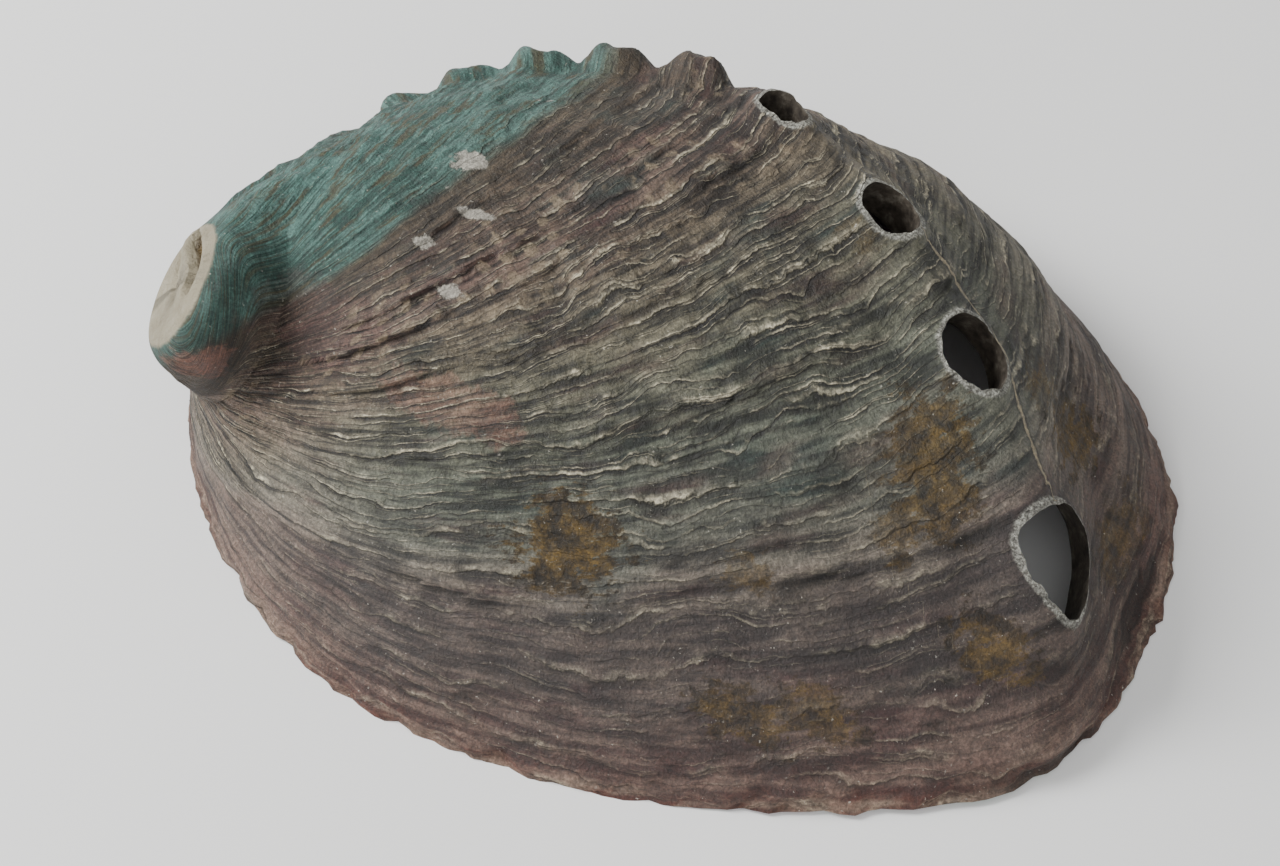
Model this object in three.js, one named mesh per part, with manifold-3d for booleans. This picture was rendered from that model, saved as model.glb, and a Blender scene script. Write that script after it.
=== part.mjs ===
// An abalone shell: a low ear-shaped dome that grew round a tilted coil, with four open holes,
// a row of healed ones, and a worn flat tip on its spire.
// Millimetres. +Z is up, +X is the growing end, the holes run along the +Y side.
// z = 0 is the plane that the rim rests on, and the plan outline is centred on the origin.
import * as THREE from 'three';
import * as BufferGeometryUtils from 'three/addons/utils/BufferGeometryUtils.js';
import Module from 'manifold-3d';

const wasm = await Module();
wasm.setup();

const DEG = Math.PI / 180;
const FULL_TURN = 2 * Math.PI;

// Rim: its distance from the origin, every 22.5 degrees round from +X
const RIM_RADII = [91.5, 88, 80.5, 68, 65.5, 68, 76, 87.5, 91.5, 87.5, 80.5, 75, 70.5, 71, 77.6, 89.8];
const RIM_LIFT = 1.4;             // highest rise of the rim between its three resting spots
const RESTING_SPOT = 150 * DEG;   // direction of one spot; the other two are a third of a turn away
const PLANED_OFF = 0.35;          // depth worn flat at the resting spots
const EDGE_ROUNDING = 0.8;        // inset of the rim's lowest line under its widest one
const EDGE_WIDTH = 2.6;           // width of the rim's edge
const SHELF_WIDTH = 8;            // width of the flat inner shelf along the left side
const BACK_SHELF_WIDTH = 16;      // width of the shelf behind the spire
const WALL = 4;                   // thickness of the wall
const BACK_CALLUS = 10;           // extra thickness behind the spire, where the whorls meet

const PLAN_SHIFT = [1.6, -0.4];   // brings the middle of the finished plan outline to the origin

// Growth: how the rim of today shrinks and turns back towards the spire
const COIL_CENTRE = new THREE.Vector3(-81, -20.5, 18);
const COIL_RISE = new THREE.Vector3(7, -10, 24);
const COIL_TILT = 43.6 * DEG;
const COIL_DIRECTION = -138.4 * DEG;
const SHRINK_RATE = 0.469;        // natural logarithm of the shrinking per radian of age
const RISE_POWER = 2.06;
const OLDEST_BODY_AGE = 112 * DEG; // where the body ends and the spire's cap begins
const OLDEST_BACK_AGE = 20 * DEG;  // the same at the back, where the body is short

// Spire: the flat disc of its worn tip
const TIP_CENTRE = new THREE.Vector3(-76, -32.5, 44);
const TIP_NORMAL = new THREE.Vector3(-0.73, -0.32, 0.59).normalize();
const TIP_RADIUS = 11.2;
const TIP_SLOT_DEPTH = 1.4;
const TIP_SLOT_SHARE = 0.55;      // radius of the slot as a share of the tip's
const CAP_START_PULL = 0.5;       // how far the cap first runs on in the direction of the body
const CAP_END_RISE = 0.5;         // how steeply the cap climbs to the tip's edge
const CAP_END_NARROWING = 0.9;    // how fast it narrows there

// Row of holes, on the crest: its direction over the healed holes, and over the open ones
const ROW_DIRECTION = -14.2 * DEG;
const OPEN_ROW_DIRECTION = -20.5 * DEG;
// Open holes: direction and age in degrees, and half of the length and width
const OPEN_HOLES = [
  { direction: -19.2, age: 12, along: 9.6, across: 6.6 },
  { direction: -21.3, age: 28, along: 7.2, across: 5.4 },
  { direction: -21, age: 41.9, along: 5.6, across: 4.2 },
  { direction: -20.2, age: 56.7, along: 4.6, across: 3.2 },
];
// Healed holes: direction and way of each mound, and the size of its flat top
const HEALED_HOLES = [
  { direction: -14.2, way: 0.613, top: 4, height: 3.2 },
  { direction: -14.2, way: 0.714, top: 4.2, height: 3 },
  { direction: -14.2, way: 0.817, top: 3.8, height: 2.6 },
  { direction: -14.2, way: 0.93, top: 3.4, height: 2.4 },
  { direction: -10.5, way: 1.165, top: 3.2, height: 2.4 },
  { direction: 1.5, way: 1.295, top: 3, height: 2.4 },
  { direction: 16, way: 1.39, top: 2.6, height: 2.2 },
];
const MOUND_FOOT = 3.2;           // how much wider than its top a mound is at its foot
const MOUND_PIT = 0.7;            // depth of the shallow pit in its top
const ROOT_DEPTH = 4;             // how far mounds and collars reach into the wall
const COLLAR_WIDTH = 3.4;
const COLLAR_HEIGHT = 1.3;
const RIDGE_HEIGHT = 2.6;
const GROOVE_DEPTH = 2.2;         // between the far flank and the flared lip
const LIP_FLARE = 2.4;
const FLANK_BULGE = 3;            // swelling of the far flank, above the groove
const CREST_SLACK = -4;           // how much lower the crest runs between the healed holes
const SLACK_WIDTH = 45;           // its width on the body, in degrees
const CAP_SLACK_WIDTH = 75;       // its width on the near side of the cap
const SEAM_FILL = 3;              // callus in the seam behind the spire, where the whorls meet

// Ledges where growth paused, and the waves that cross them
const BODY_LEDGES = 13;
const CAP_LEDGES = 3;
const LEDGE_HEIGHT = 1.1;
const WAVE_HEIGHT = 0.7;
const ROOMY_LENGTH = 90;          // length of a column at which ledges and waves have their full height

// Fineness of the mesh
const COLUMNS = 72;
// The columns stand closer at the growing end, and again where the growth lines meet under the tip
const END_CROWDING = 0.25;
const END_DIRECTION = 5 * DEG;
const DOUBLE_CROWDING = 0.24;
const DOUBLE_DIRECTION = 24 * DEG;
const SLOPE_STEP = 0.002;
const MESH_TOLERANCE = 0.01;      // edges shorter than this are closed up where solids are cut

function smooth(value, from, to) {
  const part = Math.min(Math.max((value - from) / (to - from), 0), 1);
  return part * part * (3 - 2 * part);
}

function wrapped(angle) {
  return ((angle % FULL_TURN) + FULL_TURN) % FULL_TURN;
}

// Signed difference of two directions, from minus half a turn to half a turn
function turn(angle, reference) {
  return wrapped(angle - reference + Math.PI) - Math.PI;
}

// Closed smooth curve through the rim's radii
function rimRadius(direction) {
  const count = RIM_RADII.length;
  const place = (wrapped(direction) / FULL_TURN) * count;
  const index = Math.floor(place);
  const part = place - index;
  const [a, b, c, d] = [-1, 0, 1, 2].map((step) => RIM_RADII[(index + step + count) % count]);
  return b + 0.5 * part * (c - a + part * (2 * a - 5 * b + 4 * c - d + part * (3 * (b - c) + d - a)));
}

function rimPoint(direction) {
  const radius = rimRadius(direction);
  const lift = 0.5 * RIM_LIFT * (1 - Math.cos(3 * (direction - RESTING_SPOT)));
  return new THREE.Vector3(radius * Math.cos(direction), radius * Math.sin(direction), lift - PLANED_OFF);
}

const COIL_AXIS = new THREE.Vector3(
  Math.sin(COIL_TILT) * Math.cos(COIL_DIRECTION),
  Math.sin(COIL_TILT) * Math.sin(COIL_DIRECTION),
  Math.cos(COIL_TILT),
);

// Place on the shell of the rim point in this direction, when the shell was this much younger
function grownPoint(direction, age) {
  const size = Math.exp(-SHRINK_RATE * age);
  const arm = rimPoint(direction).sub(COIL_CENTRE).applyAxisAngle(COIL_AXIS, age).multiplyScalar(size);
  return arm.add(COIL_CENTRE).addScaledVector(COIL_RISE, 1 - size ** RISE_POWER);
}

// The body reaches far back in age except behind the spire, where the whorls meet
function bodyAge(direction) {
  const degrees = wrapped(direction) / DEG;
  const dip = smooth(degrees, 90, 165) * (1 - smooth(degrees, 194, 230));
  return OLDEST_BODY_AGE + (OLDEST_BACK_AGE - OLDEST_BODY_AGE) * dip;
}

const TIP_SIDE = new THREE.Vector3(0, 0, 1).cross(TIP_NORMAL).normalize();
const TIP_UP = TIP_NORMAL.clone().cross(TIP_SIDE);

function tipPoint(angle, radius) {
  return TIP_CENTRE.clone()
    .addScaledVector(TIP_SIDE, radius * Math.cos(angle))
    .addScaledVector(TIP_UP, radius * Math.sin(angle));
}

// Directions round the tip of the points where the body ends: they follow it but never turn back
const TIP_SAMPLES = 720;
const LEAST_TURN = 0.3;           // share of an even turn that every step makes at least
const DRIFT_SHARE = 0.8;          // share of the mean offset that is taken up again

function tipAngles() {
  const seen = [];
  for (let i = 0; i < TIP_SAMPLES; i += 1) {
    const direction = (i / TIP_SAMPLES) * FULL_TURN;
    const arm = grownPoint(direction, bodyAge(direction)).sub(TIP_CENTRE);
    seen.push(Math.atan2(arm.dot(TIP_UP), arm.dot(TIP_SIDE)));
  }
  const steps = seen.map((angle, i) => {
    const next = seen[(i + 1) % TIP_SAMPLES];
    return Math.max(turn(next, angle), (LEAST_TURN * FULL_TURN) / TIP_SAMPLES);
  });
  const total = steps.reduce((sum, step) => sum + step, 0);
  const angles = [seen[0]];
  steps.forEach((step) => angles.push(angles.at(-1) + (step * FULL_TURN) / total));
  const drift = seen.reduce((sum, angle, i) => sum + turn(angle, angles[i]), 0) / TIP_SAMPLES;
  return angles.map((angle) => angle + DRIFT_SHARE * drift);
}

const TIP_ANGLES = tipAngles();

function tipAngle(direction) {
  const place = (wrapped(direction) / FULL_TURN) * TIP_SAMPLES;
  const index = Math.min(Math.floor(place), TIP_SAMPLES - 1);
  return TIP_ANGLES[index] + (place - index) * (TIP_ANGLES[index + 1] - TIP_ANGLES[index]);
}

// Smooth outside: way 0 to 1 runs over the body, from the rim, and 1 to 2 over the cap, to the tip
function smoothPoint(direction, way) {
  const age = bodyAge(direction);
  if (way <= 1) return grownPoint(direction, age * way);
  const start = grownPoint(direction, age);
  const startSlope = grownPoint(direction, age + SLOPE_STEP).sub(start).normalize();
  const angle = tipAngle(direction);
  const end = tipPoint(angle, TIP_RADIUS);
  const outwards = end.clone().sub(TIP_CENTRE).normalize();
  const endSlope = TIP_NORMAL.clone().multiplyScalar(CAP_END_RISE).addScaledVector(outwards, -CAP_END_NARROWING);
  const length = start.distanceTo(end);
  const t = way - 1;
  return start.multiplyScalar(1 - t * t * (3 - 2 * t))
    .addScaledVector(startSlope, CAP_START_PULL * length * (t - 2 * t * t + t ** 3))
    .addScaledVector(end, t * t * (3 - 2 * t))
    .addScaledVector(endSlope, length * (t ** 3 - t * t));
}

function outwardNormal(direction, way) {
  const from = Math.max(way - SLOPE_STEP, 0);
  const alongAge = smoothPoint(direction, way + SLOPE_STEP).sub(smoothPoint(direction, from));
  const alongRim = smoothPoint(direction + SLOPE_STEP, way).sub(smoothPoint(direction - SLOPE_STEP, way));
  return alongRim.cross(alongAge).normalize();
}

// Room for ledges and waves: less where the growth lines crowd together behind the spire
function room(direction, way) {
  const pace = smoothPoint(direction, way + SLOPE_STEP).distanceTo(smoothPoint(direction, way)) / SLOPE_STEP;
  return Math.min(pace / ROOMY_LENGTH, 1);
}

// Broad swellings, which the inside of the wall follows too
function broadRelief(direction, way) {
  const degrees = wrapped(direction) / DEG;
  const fromRow = turn(direction, ROW_DIRECTION) / DEG;
  const flank = FLANK_BULGE * Math.exp(-(((fromRow - 30) / 22) ** 2)) * smooth(way, 0.12, 0.22)
    * (1 - smooth(way, 0.28, 0.42));
  const widening = fromRow < 0 ? smooth(way, 0.7, 1.1) : 0;
  const slackWidth = SLACK_WIDTH + (CAP_SLACK_WIDTH - SLACK_WIDTH) * widening;
  const slack = CREST_SLACK * smooth(way, 0.45, 0.7) * Math.exp(-((fromRow / slackWidth) ** 2));
  const seam = SEAM_FILL * smooth(degrees, 115, 145) * (1 - smooth(degrees, 180, 205)) * smooth(way, 0.02, 0.2);
  return (flank + slack + seam) * (1 - smooth(way, 1.2, 1.9));
}

// Direction of the crest: it swings over between the open and the healed holes
function crestDirection(way) {
  return OPEN_ROW_DIRECTION + (ROW_DIRECTION - OPEN_ROW_DIRECTION) * smooth(way, 0.5, 0.62);
}

// How far the outside stands proud of the smooth surface, ledges apart
function relief(direction, way) {
  const size = Math.exp(-SHRINK_RATE * Math.min(way, 1) * bodyAge(direction));
  const fade = smooth(way, 0, 0.03) * (1 - smooth(way, 1.6, 1.95));
  const fromRow = turn(direction, ROW_DIRECTION) / DEG;
  const fromCrest = turn(direction, crestDirection(way)) / DEG;
  const ridge = RIDGE_HEIGHT * Math.exp(-((fromCrest / 6) ** 2));
  const groove = -GROOVE_DEPTH * Math.exp(-(((fromCrest - 19) / 9) ** 2)) * (1 - smooth(way, 0.15, 0.35));
  const lip = LIP_FLARE * smooth(fromRow, 14, 34) * (1 - smooth(fromRow, 70, 110)) * (1 - smooth(way, 0.05, 0.2));
  const waves = Math.sin(19 * way + 2 * Math.sin(direction)) + 0.6 * Math.sin(8 * direction + 3 * way);
  const proud = (ridge + groove + WAVE_HEIGHT * waves * room(direction, way)) * Math.sqrt(size);
  return proud * fade + lip + broadRelief(direction, way);
}

// Rows of the outside, each with its way and its share of the ledge height
function outsideRows() {
  const rows = [{ way: 0, share: 0 }, { way: 0.012, share: 0 }];
  const addLedges = (count, from, to) => {
    const pitch = (to - from) / count;
    for (let k = 0; k < count; k += 1) {
      const way = from + pitch * (k + 0.5 + 0.25 * Math.sin(2.7 * k));
      rows.push({ way: way - 0.1 * pitch, share: -0.4, ledge: k });
      rows.push({ way: way + 0.1 * pitch, share: 0.6, ledge: k });
    }
  };
  addLedges(BODY_LEDGES, 0.02, 1);
  addLedges(CAP_LEDGES, 1.02, 1.8);
  rows.push({ way: 1.9, share: 0 });
  rows.push({ way: 2, share: 0 });
  return rows;
}

function columnDirection(column) {
  const even = (column / COLUMNS) * FULL_TURN;
  return even - END_CROWDING * Math.sin(even - END_DIRECTION)
    - DOUBLE_CROWDING * Math.sin(2 * (even - DOUBLE_DIRECTION));
}

function outsidePoint(column, row, index) {
  const direction = columnDirection(column);
  const point = smoothPoint(direction, row.way);
  if (index === 0) {
    const inward = new THREE.Vector3(-Math.cos(direction), -Math.sin(direction), 0);
    return point.addScaledVector(inward, EDGE_ROUNDING);
  }
  const strength = 0.6 + 0.4 * Math.sin(2 * direction + 2.4 * (row.ledge ?? 0));
  const ledge = LEDGE_HEIGHT * row.share * strength * room(direction, row.way);
  const proud = relief(direction, row.way) + ledge;
  return point.addScaledVector(outwardNormal(direction, row.way), proud);
}

// Closed mesh from rings of points, each ring closed, with a point at both ends
function closedRings(rings, firstPoint, lastPoint) {
  const count = rings[0].length;
  const points = [...rings.flat(), firstPoint, lastPoint];
  const first = rings.length * count;
  const indices = [];
  for (let column = 0; column < count; column += 1) {
    const next = (column + 1) % count;
    indices.push(first, next, column);
    const top = (rings.length - 1) * count;
    indices.push(first + 1, top + column, top + next);
    for (let ring = 0; ring < rings.length - 1; ring += 1) {
      const low = ring * count;
      const high = low + count;
      indices.push(low + column, low + next, high + next);
      indices.push(low + column, high + next, high + column);
    }
  }
  const geometry = new THREE.BufferGeometry().setFromPoints(points);
  geometry.setIndex(indices);
  return geometry;
}

function solid(geometry) {
  const bare = geometry.clone();
  bare.deleteAttribute('normal');
  bare.deleteAttribute('uv');
  const merged = BufferGeometryUtils.mergeVertices(bare, 1e-4);
  return new wasm.Manifold(new wasm.Mesh({
    numProp: 3,
    vertProperties: new Float32Array(merged.attributes.position.array),
    triVerts: new Uint32Array(merged.index.array),
    tolerance: MESH_TOLERANCE,
  }));
}

function meshFromSolid(body, name, material) {
  const { vertProperties, triVerts } = body.getMesh();
  const geometry = new THREE.BufferGeometry();
  geometry.setAttribute('position', new THREE.BufferAttribute(vertProperties, 3));
  geometry.setIndex(new THREE.BufferAttribute(triVerts, 1));
  geometry.translate(...PLAN_SHIFT, 0);
  geometry.computeVertexNormals();
  const mesh = new THREE.Mesh(geometry, material);
  mesh.name = name;
  return mesh;
}

// Outside, closed underneath by a fan, and with the worn slot sunk into the tip
function outsideSolid() {
  const rows = outsideRows();
  const columns = [...Array(COLUMNS).keys()];
  const rings = rows.map((row, index) => columns.map((column) => outsidePoint(column, row, index)));
  const slot = columns.map((column) => {
    const angle = tipAngle(columnDirection(column));
    return tipPoint(angle, TIP_RADIUS * TIP_SLOT_SHARE).addScaledVector(TIP_NORMAL, -0.1 * TIP_SLOT_DEPTH);
  });
  rings.push(slot);
  const centre = TIP_CENTRE.clone().addScaledVector(TIP_NORMAL, -TIP_SLOT_DEPTH);
  return solid(closedRings(rings, new THREE.Vector3(0, 0, RIM_LIFT / 2 - PLANED_OFF), centre));
}

// Inset of the hollow's mouth from the rim: wide along the left side, where the shelf is
function mouthInset(direction) {
  const degrees = wrapped(direction) / DEG;
  const left = smooth(degrees, 180, 215) * (1 - smooth(degrees, 270, 320));
  const back = smooth(degrees, 95, 140) * (1 - smooth(degrees, 180, 215));
  return EDGE_WIDTH + (SHELF_WIDTH - EDGE_WIDTH) * left + (BACK_SHELF_WIDTH - EDGE_WIDTH) * back;
}

const MOUTH_HEIGHT = 1.2;         // height of the inner edge of the rim
const LEAST_RISE = 14;            // how much the inner face climbs over the body, at the least

// Inner face of the wall; behind the spire, callus moves it towards the middle of the shell
function innerPoint(direction, way) {
  const depth = broadRelief(direction, way) - WALL;
  const point = smoothPoint(direction, way).addScaledVector(outwardNormal(direction, way), depth);
  const degrees = wrapped(direction) / DEG;
  const callus = BACK_CALLUS * smooth(degrees, 60, 130) * (1 - smooth(degrees, 185, 230));
  const inwards = new THREE.Vector3(-point.x, -point.y, 0).normalize();
  point.addScaledVector(inwards, callus);
  return point.setZ(Math.max(point.z, MOUTH_HEIGHT + LEAST_RISE * way));
}

const HOLLOW_WAYS = [0.08, 0.18, 0.32, 0.48, 0.64, 0.8];
const HOLLOW_END_STEPS = 4;
const HOLLOW_REACH = 0.5;         // share of the way from its last ring to the tip
const END_NARROWING = 0.4;        // how much more pointed than round the hollow's end is
const BELOW_RIM = 6;

function hollowSolid() {
  const columns = [...Array(COLUMNS).keys()];
  const mouth = columns.map((column) => {
    const direction = columnDirection(column);
    const radius = rimRadius(direction) - mouthInset(direction);
    return new THREE.Vector3(radius * Math.cos(direction), radius * Math.sin(direction), 0);
  });
  const rings = [
    mouth.map((point) => point.clone().setZ(-BELOW_RIM)),
    mouth.map((point) => point.clone().setZ(MOUTH_HEIGHT)),
  ];
  HOLLOW_WAYS.forEach((way) => {
    rings.push(columns.map((column) => innerPoint(columnDirection(column), way)));
  });
  const last = rings.at(-1);
  const centre = last.reduce((sum, point) => sum.add(point), new THREE.Vector3()).divideScalar(last.length);
  const reach = TIP_CENTRE.clone().sub(centre).multiplyScalar(HOLLOW_REACH);
  for (let step = 1; step < HOLLOW_END_STEPS; step += 1) {
    const part = step / HOLLOW_END_STEPS;
    const size = Math.sqrt(1 - part * part) * (1 - END_NARROWING * part);
    rings.push(last.map((point) => point.clone().lerp(centre, 1 - size).addScaledVector(reach, part)));
  }
  return solid(closedRings(rings, new THREE.Vector3(0, 0, -BELOW_RIM), centre.clone().add(reach)));
}

// Frame on the outside: z out of the shell, x towards older shell
function outsideFrame(direction, way) {
  const out = outwardNormal(direction, way);
  const along = smoothPoint(direction, way + SLOPE_STEP).sub(smoothPoint(direction, way - SLOPE_STEP));
  along.addScaledVector(out, -along.dot(out)).normalize();
  const across = out.clone().cross(along);
  const place = smoothPoint(direction, way).addScaledVector(out, relief(direction, way));
  return new THREE.Matrix4().makeBasis(along, across, out).setPosition(place);
}

function openHoleFrame(hole) {
  const direction = hole.direction * DEG;
  return outsideFrame(direction, (hole.age * DEG) / bodyAge(direction));
}

function collar(hole) {
  const foot = 1 + COLLAR_WIDTH / hole.across;
  const top = 1 + (0.35 * COLLAR_WIDTH) / hole.across;
  const profile = [[0, -ROOT_DEPTH], [foot, -ROOT_DEPTH], [top, COLLAR_HEIGHT], [0, COLLAR_HEIGHT]];
  const geometry = new THREE.LatheGeometry(profile.map(([x, y]) => new THREE.Vector2(x, y)), 20);
  geometry.rotateX(Math.PI / 2).scale(hole.along, hole.across, 1);
  return solid(geometry.applyMatrix4(openHoleFrame(hole)));
}

const TUNNEL_LENGTH = 24;
const TUNNEL_TAPER = 0.85;        // its size at the inner end

function tunnel(hole) {
  const geometry = new THREE.CylinderGeometry(1, TUNNEL_TAPER, TUNNEL_LENGTH, 20);
  geometry.rotateX(Math.PI / 2).scale(hole.along, hole.across, 1);
  return solid(geometry.applyMatrix4(openHoleFrame(hole)));
}

function healedHole(hole) {
  const { direction, way, top, height } = hole;
  const foot = top + MOUND_FOOT;
  const profile = [
    [0, -ROOT_DEPTH], [foot, -ROOT_DEPTH], [foot - 0.6, -0.35 * ROOT_DEPTH],
    [top, height], [0.6 * top, height], [0, height - MOUND_PIT],
  ];
  const geometry = new THREE.LatheGeometry(profile.map(([x, y]) => new THREE.Vector2(x, y)), 12);
  return solid(geometry.rotateX(Math.PI / 2).applyMatrix4(outsideFrame(direction * DEG, way)));
}

// Everything under the plane that the rim rests on
function groundBlock() {
  const width = 300;
  const depth = 20;
  return solid(new THREE.BoxGeometry(width, width, depth).translate(0, 0, -depth / 2));
}

function shell() {
  let body = outsideSolid();
  OPEN_HOLES.forEach((hole) => { body = body.add(collar(hole)); });
  HEALED_HOLES.forEach((hole) => { body = body.add(healedHole(hole)); });
  body = body.subtract(hollowSolid());
  OPEN_HOLES.forEach((hole) => { body = body.subtract(tunnel(hole)); });
  return body.subtract(groundBlock());
}

const crust = new THREE.MeshStandardMaterial({ color: 0x6f6259, roughness: 0.8, metalness: 0 });
const abalone = new THREE.Group();
abalone.add(meshFromSolid(shell(), 'shell', crust));

export default abalone;
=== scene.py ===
# %% [markdown]
# # An abalone shell, lying on its rim
# The real object is one empty shell that grew as one piece: a low ear-shaped dome with a row of holes,
# a rough crust that shows each pause in its growth, and a worn flat tip on its spire. One mesh stands for
# all of it, because nothing on it was ever joined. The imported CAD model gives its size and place, and this
# script gives it its relief and its colours. Lengths are in millimetres, as in the CAD source, and are
# turned to metres when a mesh is made. Only noise scales, bumps, the floor and the lights are in metres.

import math

import bpy
import numpy as np
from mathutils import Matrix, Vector, kdtree, noise


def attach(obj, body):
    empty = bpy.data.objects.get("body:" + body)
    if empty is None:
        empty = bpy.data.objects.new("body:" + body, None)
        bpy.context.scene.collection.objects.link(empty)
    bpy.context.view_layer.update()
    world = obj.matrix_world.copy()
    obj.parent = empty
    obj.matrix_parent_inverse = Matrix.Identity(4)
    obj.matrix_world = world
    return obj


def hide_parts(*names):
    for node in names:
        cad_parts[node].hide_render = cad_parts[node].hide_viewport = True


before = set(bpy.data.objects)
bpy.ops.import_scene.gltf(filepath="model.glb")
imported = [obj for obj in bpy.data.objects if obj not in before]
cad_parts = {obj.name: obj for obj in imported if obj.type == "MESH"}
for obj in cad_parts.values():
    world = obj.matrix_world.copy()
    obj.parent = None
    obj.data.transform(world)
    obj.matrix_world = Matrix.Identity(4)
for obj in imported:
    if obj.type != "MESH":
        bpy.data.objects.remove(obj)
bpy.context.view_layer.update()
MM = 0.001
FAR = 30.0
DEG = math.pi / 180
FULL_TURN = 2 * math.pi

# %% [markdown]
# ## How the shell grew
# A snail adds shell only along its rim, and the rim turns and widens as it grows. So the rim of today,
# shrunk and turned back about a tilted axis, passes through every older rim, and together they are the
# shell's outside. That needs few numbers, and it gives every point its age, which the colours need later.
# The age is in degrees of turn. "Way" runs from 0 at the rim to 1 where the body ends, and on to 2 over
# the cap that closes the body to the worn tip.

# %% Growth of the rim
RIM_RADII = np.array([91.5, 88, 80.5, 68, 65.5, 68, 76, 87.5, 91.5, 87.5, 80.5, 75, 70.5, 71, 77.6, 89.8])
RIM_LIFT = 1.4
RESTING_SPOT = 150 * DEG
PLANED_OFF = 0.35
PLAN_SHIFT = np.array([1.6, -0.4, 0.0])
COIL_CENTRE = np.array([-81, -20.5, 18])
COIL_RISE = np.array([7, -10, 24])
COIL_TILT = 43.6 * DEG
COIL_DIRECTION = -138.4 * DEG
SHRINK_RATE = 0.469
RISE_POWER = 2.06
COIL_AXIS = np.array([
    math.sin(COIL_TILT) * math.cos(COIL_DIRECTION),
    math.sin(COIL_TILT) * math.sin(COIL_DIRECTION),
    math.cos(COIL_TILT),
])


def smooth(value, start, end):
    """0 before start, 1 after end, and a soft step between them"""
    part = np.clip((value - start) / (end - start), 0, 1)
    return part * part * (3 - 2 * part)


def turn(direction, reference):
    """Signed difference of two directions, within half a turn"""
    return (direction - reference + math.pi) % FULL_TURN - math.pi


def unit(vectors):
    return vectors / np.linalg.norm(vectors, axis=-1, keepdims=True)


def rim_radius(direction):
    """Closed smooth curve through the rim's radii"""
    count = len(RIM_RADII)
    place = direction % FULL_TURN / FULL_TURN * count
    index = np.floor(place).astype(int)
    part = place - index
    a, b, c, d = (RIM_RADII[(index + step) % count] for step in (-1, 0, 1, 2))
    return b + 0.5 * part * (c - a + part * (2 * a - 5 * b + 4 * c - d + part * (3 * (b - c) + d - a)))


def rim_point(direction):
    radius = rim_radius(direction)
    lift = 0.5 * RIM_LIFT * (1 - np.cos(3 * (direction - RESTING_SPOT))) - PLANED_OFF
    return np.stack([radius * np.cos(direction), radius * np.sin(direction), lift], axis=-1)


def grown_point(direction, age):
    """Where the rim point in this direction lay when the shell was this much younger"""
    direction, age = np.broadcast_arrays(direction, age)
    size = np.exp(-SHRINK_RATE * age)[..., None]
    arm = rim_point(direction) - COIL_CENTRE
    cosine, sine = np.cos(age)[..., None], np.sin(age)[..., None]
    along_axis = (arm @ COIL_AXIS)[..., None] * COIL_AXIS
    turned = arm * cosine + np.cross(np.broadcast_to(COIL_AXIS, arm.shape), arm) * sine
    turned += along_axis * (1 - cosine)
    return COIL_CENTRE + size * turned + COIL_RISE * (1 - size ** RISE_POWER)


print("rim points, mm:", rim_point(np.array([0, 90, 180, 270]) * DEG).round(1).tolist())

# %% [markdown]
# ## The worn tip and the cap
# The spire's tip is worn to a flat disc. The oldest rims would curl up inside each other, so the body
# stops before that, much earlier behind the spire, and a smooth cap runs from there to the disc's edge.

# %% Cap between the body and the tip
OLDEST_BODY_AGE = 112 * DEG
OLDEST_BACK_AGE = 20 * DEG
TIP_CENTRE = np.array([-76, -32.5, 44])
TIP_NORMAL = unit(np.array([-0.73, -0.32, 0.59]))
TIP_RADIUS = 11.2
TIP_SIDE = unit(np.cross([0, 0, 1], TIP_NORMAL))
TIP_UP = np.cross(TIP_NORMAL, TIP_SIDE)
TIP_SAMPLES = 720
LEAST_TURN = 0.3
TABLE_DRIFT = 0.8
LEAVING_PULL = 0.5
SLOPE_STEP = 0.002


def body_age(direction):
    degrees = direction % FULL_TURN / DEG
    dip = smooth(degrees, 90, 165) * (1 - smooth(degrees, 194, 230))
    return OLDEST_BODY_AGE + (OLDEST_BACK_AGE - OLDEST_BODY_AGE) * dip


def tip_angle_table():
    """Angles round the tip that follow the end of the body and never turn back"""
    direction = np.arange(TIP_SAMPLES) / TIP_SAMPLES * FULL_TURN
    arm = grown_point(direction, body_age(direction)) - TIP_CENTRE
    seen = np.arctan2(arm @ TIP_UP, arm @ TIP_SIDE)
    steps = np.maximum(turn(np.roll(seen, -1), seen), LEAST_TURN * FULL_TURN / TIP_SAMPLES)
    angles = seen[0] + np.append(0, np.cumsum(steps) * FULL_TURN / steps.sum())
    return angles + TABLE_DRIFT * turn(seen, angles[:-1]).mean()


TIP_ANGLES = tip_angle_table()


def tip_angle(direction):
    place = direction % FULL_TURN / FULL_TURN * TIP_SAMPLES
    return np.interp(place, np.arange(TIP_SAMPLES + 1), TIP_ANGLES)


def tip_point(angle, radius):
    spoke = np.cos(angle)[..., None] * TIP_SIDE + np.sin(angle)[..., None] * TIP_UP
    return TIP_CENTRE + radius * spoke


def smooth_point(direction, way):
    """The outside without its relief"""
    direction, way = np.broadcast_arrays(direction, way)
    age = body_age(direction)
    start = grown_point(direction, age * np.minimum(way, 1))
    body_end = grown_point(direction, age)
    start_slope = unit(grown_point(direction, age + SLOPE_STEP) - body_end)
    end = tip_point(tip_angle(direction), TIP_RADIUS)
    end_slope = 0.5 * TIP_NORMAL - 0.9 * unit(end - TIP_CENTRE)
    length = np.linalg.norm(end - body_end, axis=-1, keepdims=True)
    t = np.maximum(way - 1, 0)[..., None]
    ease = t * t * (3 - 2 * t)
    return (start * (1 - ease) + start_slope * LEAVING_PULL * length * (t - 2 * t * t + t ** 3)
            + end * ease + end_slope * length * (t ** 3 - t * t))


def outward_normal(direction, way):
    younger = np.maximum(way - SLOPE_STEP, 0)
    along_age = smooth_point(direction, way + SLOPE_STEP) - smooth_point(direction, younger)
    along_rim = smooth_point(direction + SLOPE_STEP, way) - smooth_point(direction - SLOPE_STEP, way)
    return unit(np.cross(along_rim, along_age))


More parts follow.
